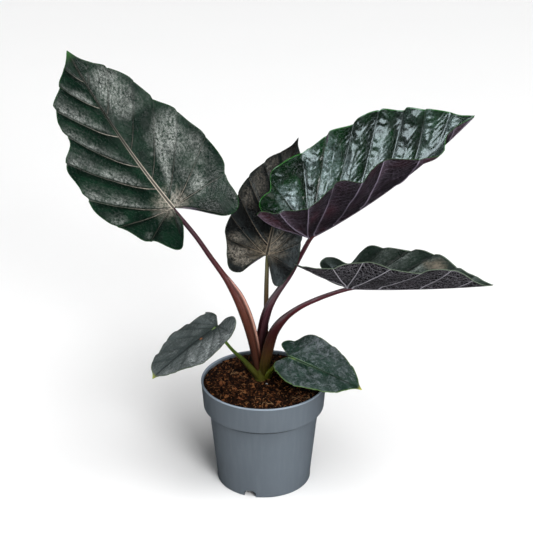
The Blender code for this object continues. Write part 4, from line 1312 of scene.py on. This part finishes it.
PURPLE = dict(dark=(0.003, 0.0008, 0.0015), light=(0.016, 0.004, 0.008), vein=(0.24, 0.20, 0.27),
              roughness=0.42, rim=(0.03, 0.055, 0.025), net_amount=0.15, gloss=0.28,
              flush=(0.034, 0.004, 0.007))
# In UPPER, shine is the tone of the painted sheen.
UPPER = {
    "a": dict(dark=(0.0015, 0.009, 0.005), light=(0.004, 0.020, 0.010), shine=(0.30, 0.32, 0.30),
              vein=(0.48, 0.43, 0.36), roughness=0.25, gloss=0.18, rim=(0.010, 0.045, 0.010), painted_highlight=0.5,
              hub_highlight_tone=(0.52, 0.47, 0.40), vein_amount=0.6, tip=(0.02, 0.09, 0.015)),
    "b": dict(dark=(0.001, 0.001, 0.001), light=(0.005, 0.008, 0.008), shine=(0.19, 0.17, 0.14),
              vein=(0.26, 0.21, 0.15), roughness=0.28, gloss=0.17, rim=(0.012, 0.022, 0.01), painted_highlight=0.50,
              hub_highlight_tone=(0.20, 0.16, 0.11), vein_amount=0.95, rib_amount=0.45),
    "c": dict(dark=(0.001, 0.010, 0.002), light=(0.004, 0.034, 0.007), shine=(0.26, 0.36, 0.36),
              vein=(0.34, 0.38, 0.33), roughness=0.22, gloss=0.22, rim=(0.03, 0.16, 0.02), coat=0.7,
              grit=0.0003, brushed=(8.0, 0.30)),
    "d": dict(dark=(0.003, 0.009, 0.005), light=(0.010, 0.021, 0.014), shine=(0.28, 0.32, 0.30),
              vein=(0.18, 0.20, 0.16), roughness=0.32, gloss=0.3, rim=(0.13, 0.18, 0.12),
              spots=((82.0, -21.0, 9.0, (0.17, 0.145, 0.11)), (72.0, -24.0, 5.0, (0.15, 0.13, 0.10)))),
    "e": dict(dark=(0.012, 0.018, 0.016), light=(0.030, 0.039, 0.037), shine=(0.34, 0.37, 0.37),
              vein=(0.02, 0.025, 0.02), roughness=0.5, gloss=0.3, rim=(0.05, 0.07, 0.03), vein_amount=0.4,
              rib_amount=0.2, valley=0.35, brushed=(1.4, 0.9), tip=(0.40, 0.45, 0.05),
              spots=((20.0, -1.5, 1.5, (0.50, 0.15, 0.03)),)),
    "f": dict(dark=(0.003, 0.018, 0.010), light=(0.012, 0.038, 0.024), shine=(0.19, 0.21, 0.23),
              vein=(0.12, 0.20, 0.11), roughness=0.38, gloss=0.4, rim=(0.08, 0.15, 0.03), vein_amount=0.15,
              valley=0.3, brushed=(3.0, 0.5), tip=(0.50, 0.48, 0.06), mottle=0.28),
}
UNDER = {
    "a": PURPLE, "b": PURPLE, "c": PURPLE,
    "d": dict(PURPLE, dark=(0.002, 0.0015, 0.002), light=(0.004, 0.0035, 0.005), vein=(0.27, 0.26, 0.29),
              rim=(0.13, 0.17, 0.12), net_amount=0.22, gloss=0.06, painted_lit_flank=0.0, flush=(0.010, 0.003, 0.004)),
    "e": dict(dark=(0.03, 0.04, 0.034), light=(0.06, 0.075, 0.065), vein=(0.13, 0.17, 0.10), roughness=0.6,
              rim=(0.08, 0.12, 0.04)),
    "f": dict(dark=(0.025, 0.04, 0.025), light=(0.05, 0.075, 0.045), vein=(0.13, 0.18, 0.09), roughness=0.6,
              rim=(0.10, 0.16, 0.04)),
}

camera()
stage()
for number, (key, leaf) in enumerate(LEAVES.items()):
    above = upper_material(f"leaf_{key}_upper", **UPPER[key])
    below = under_material(f"leaf_{key}_under", **UNDER[key])
    blade(key, leaf, number + 1, [above, below])
stalks(stalk_material())
pot(pot_material())
soil(bed_material())
soil_litter(litter_material())
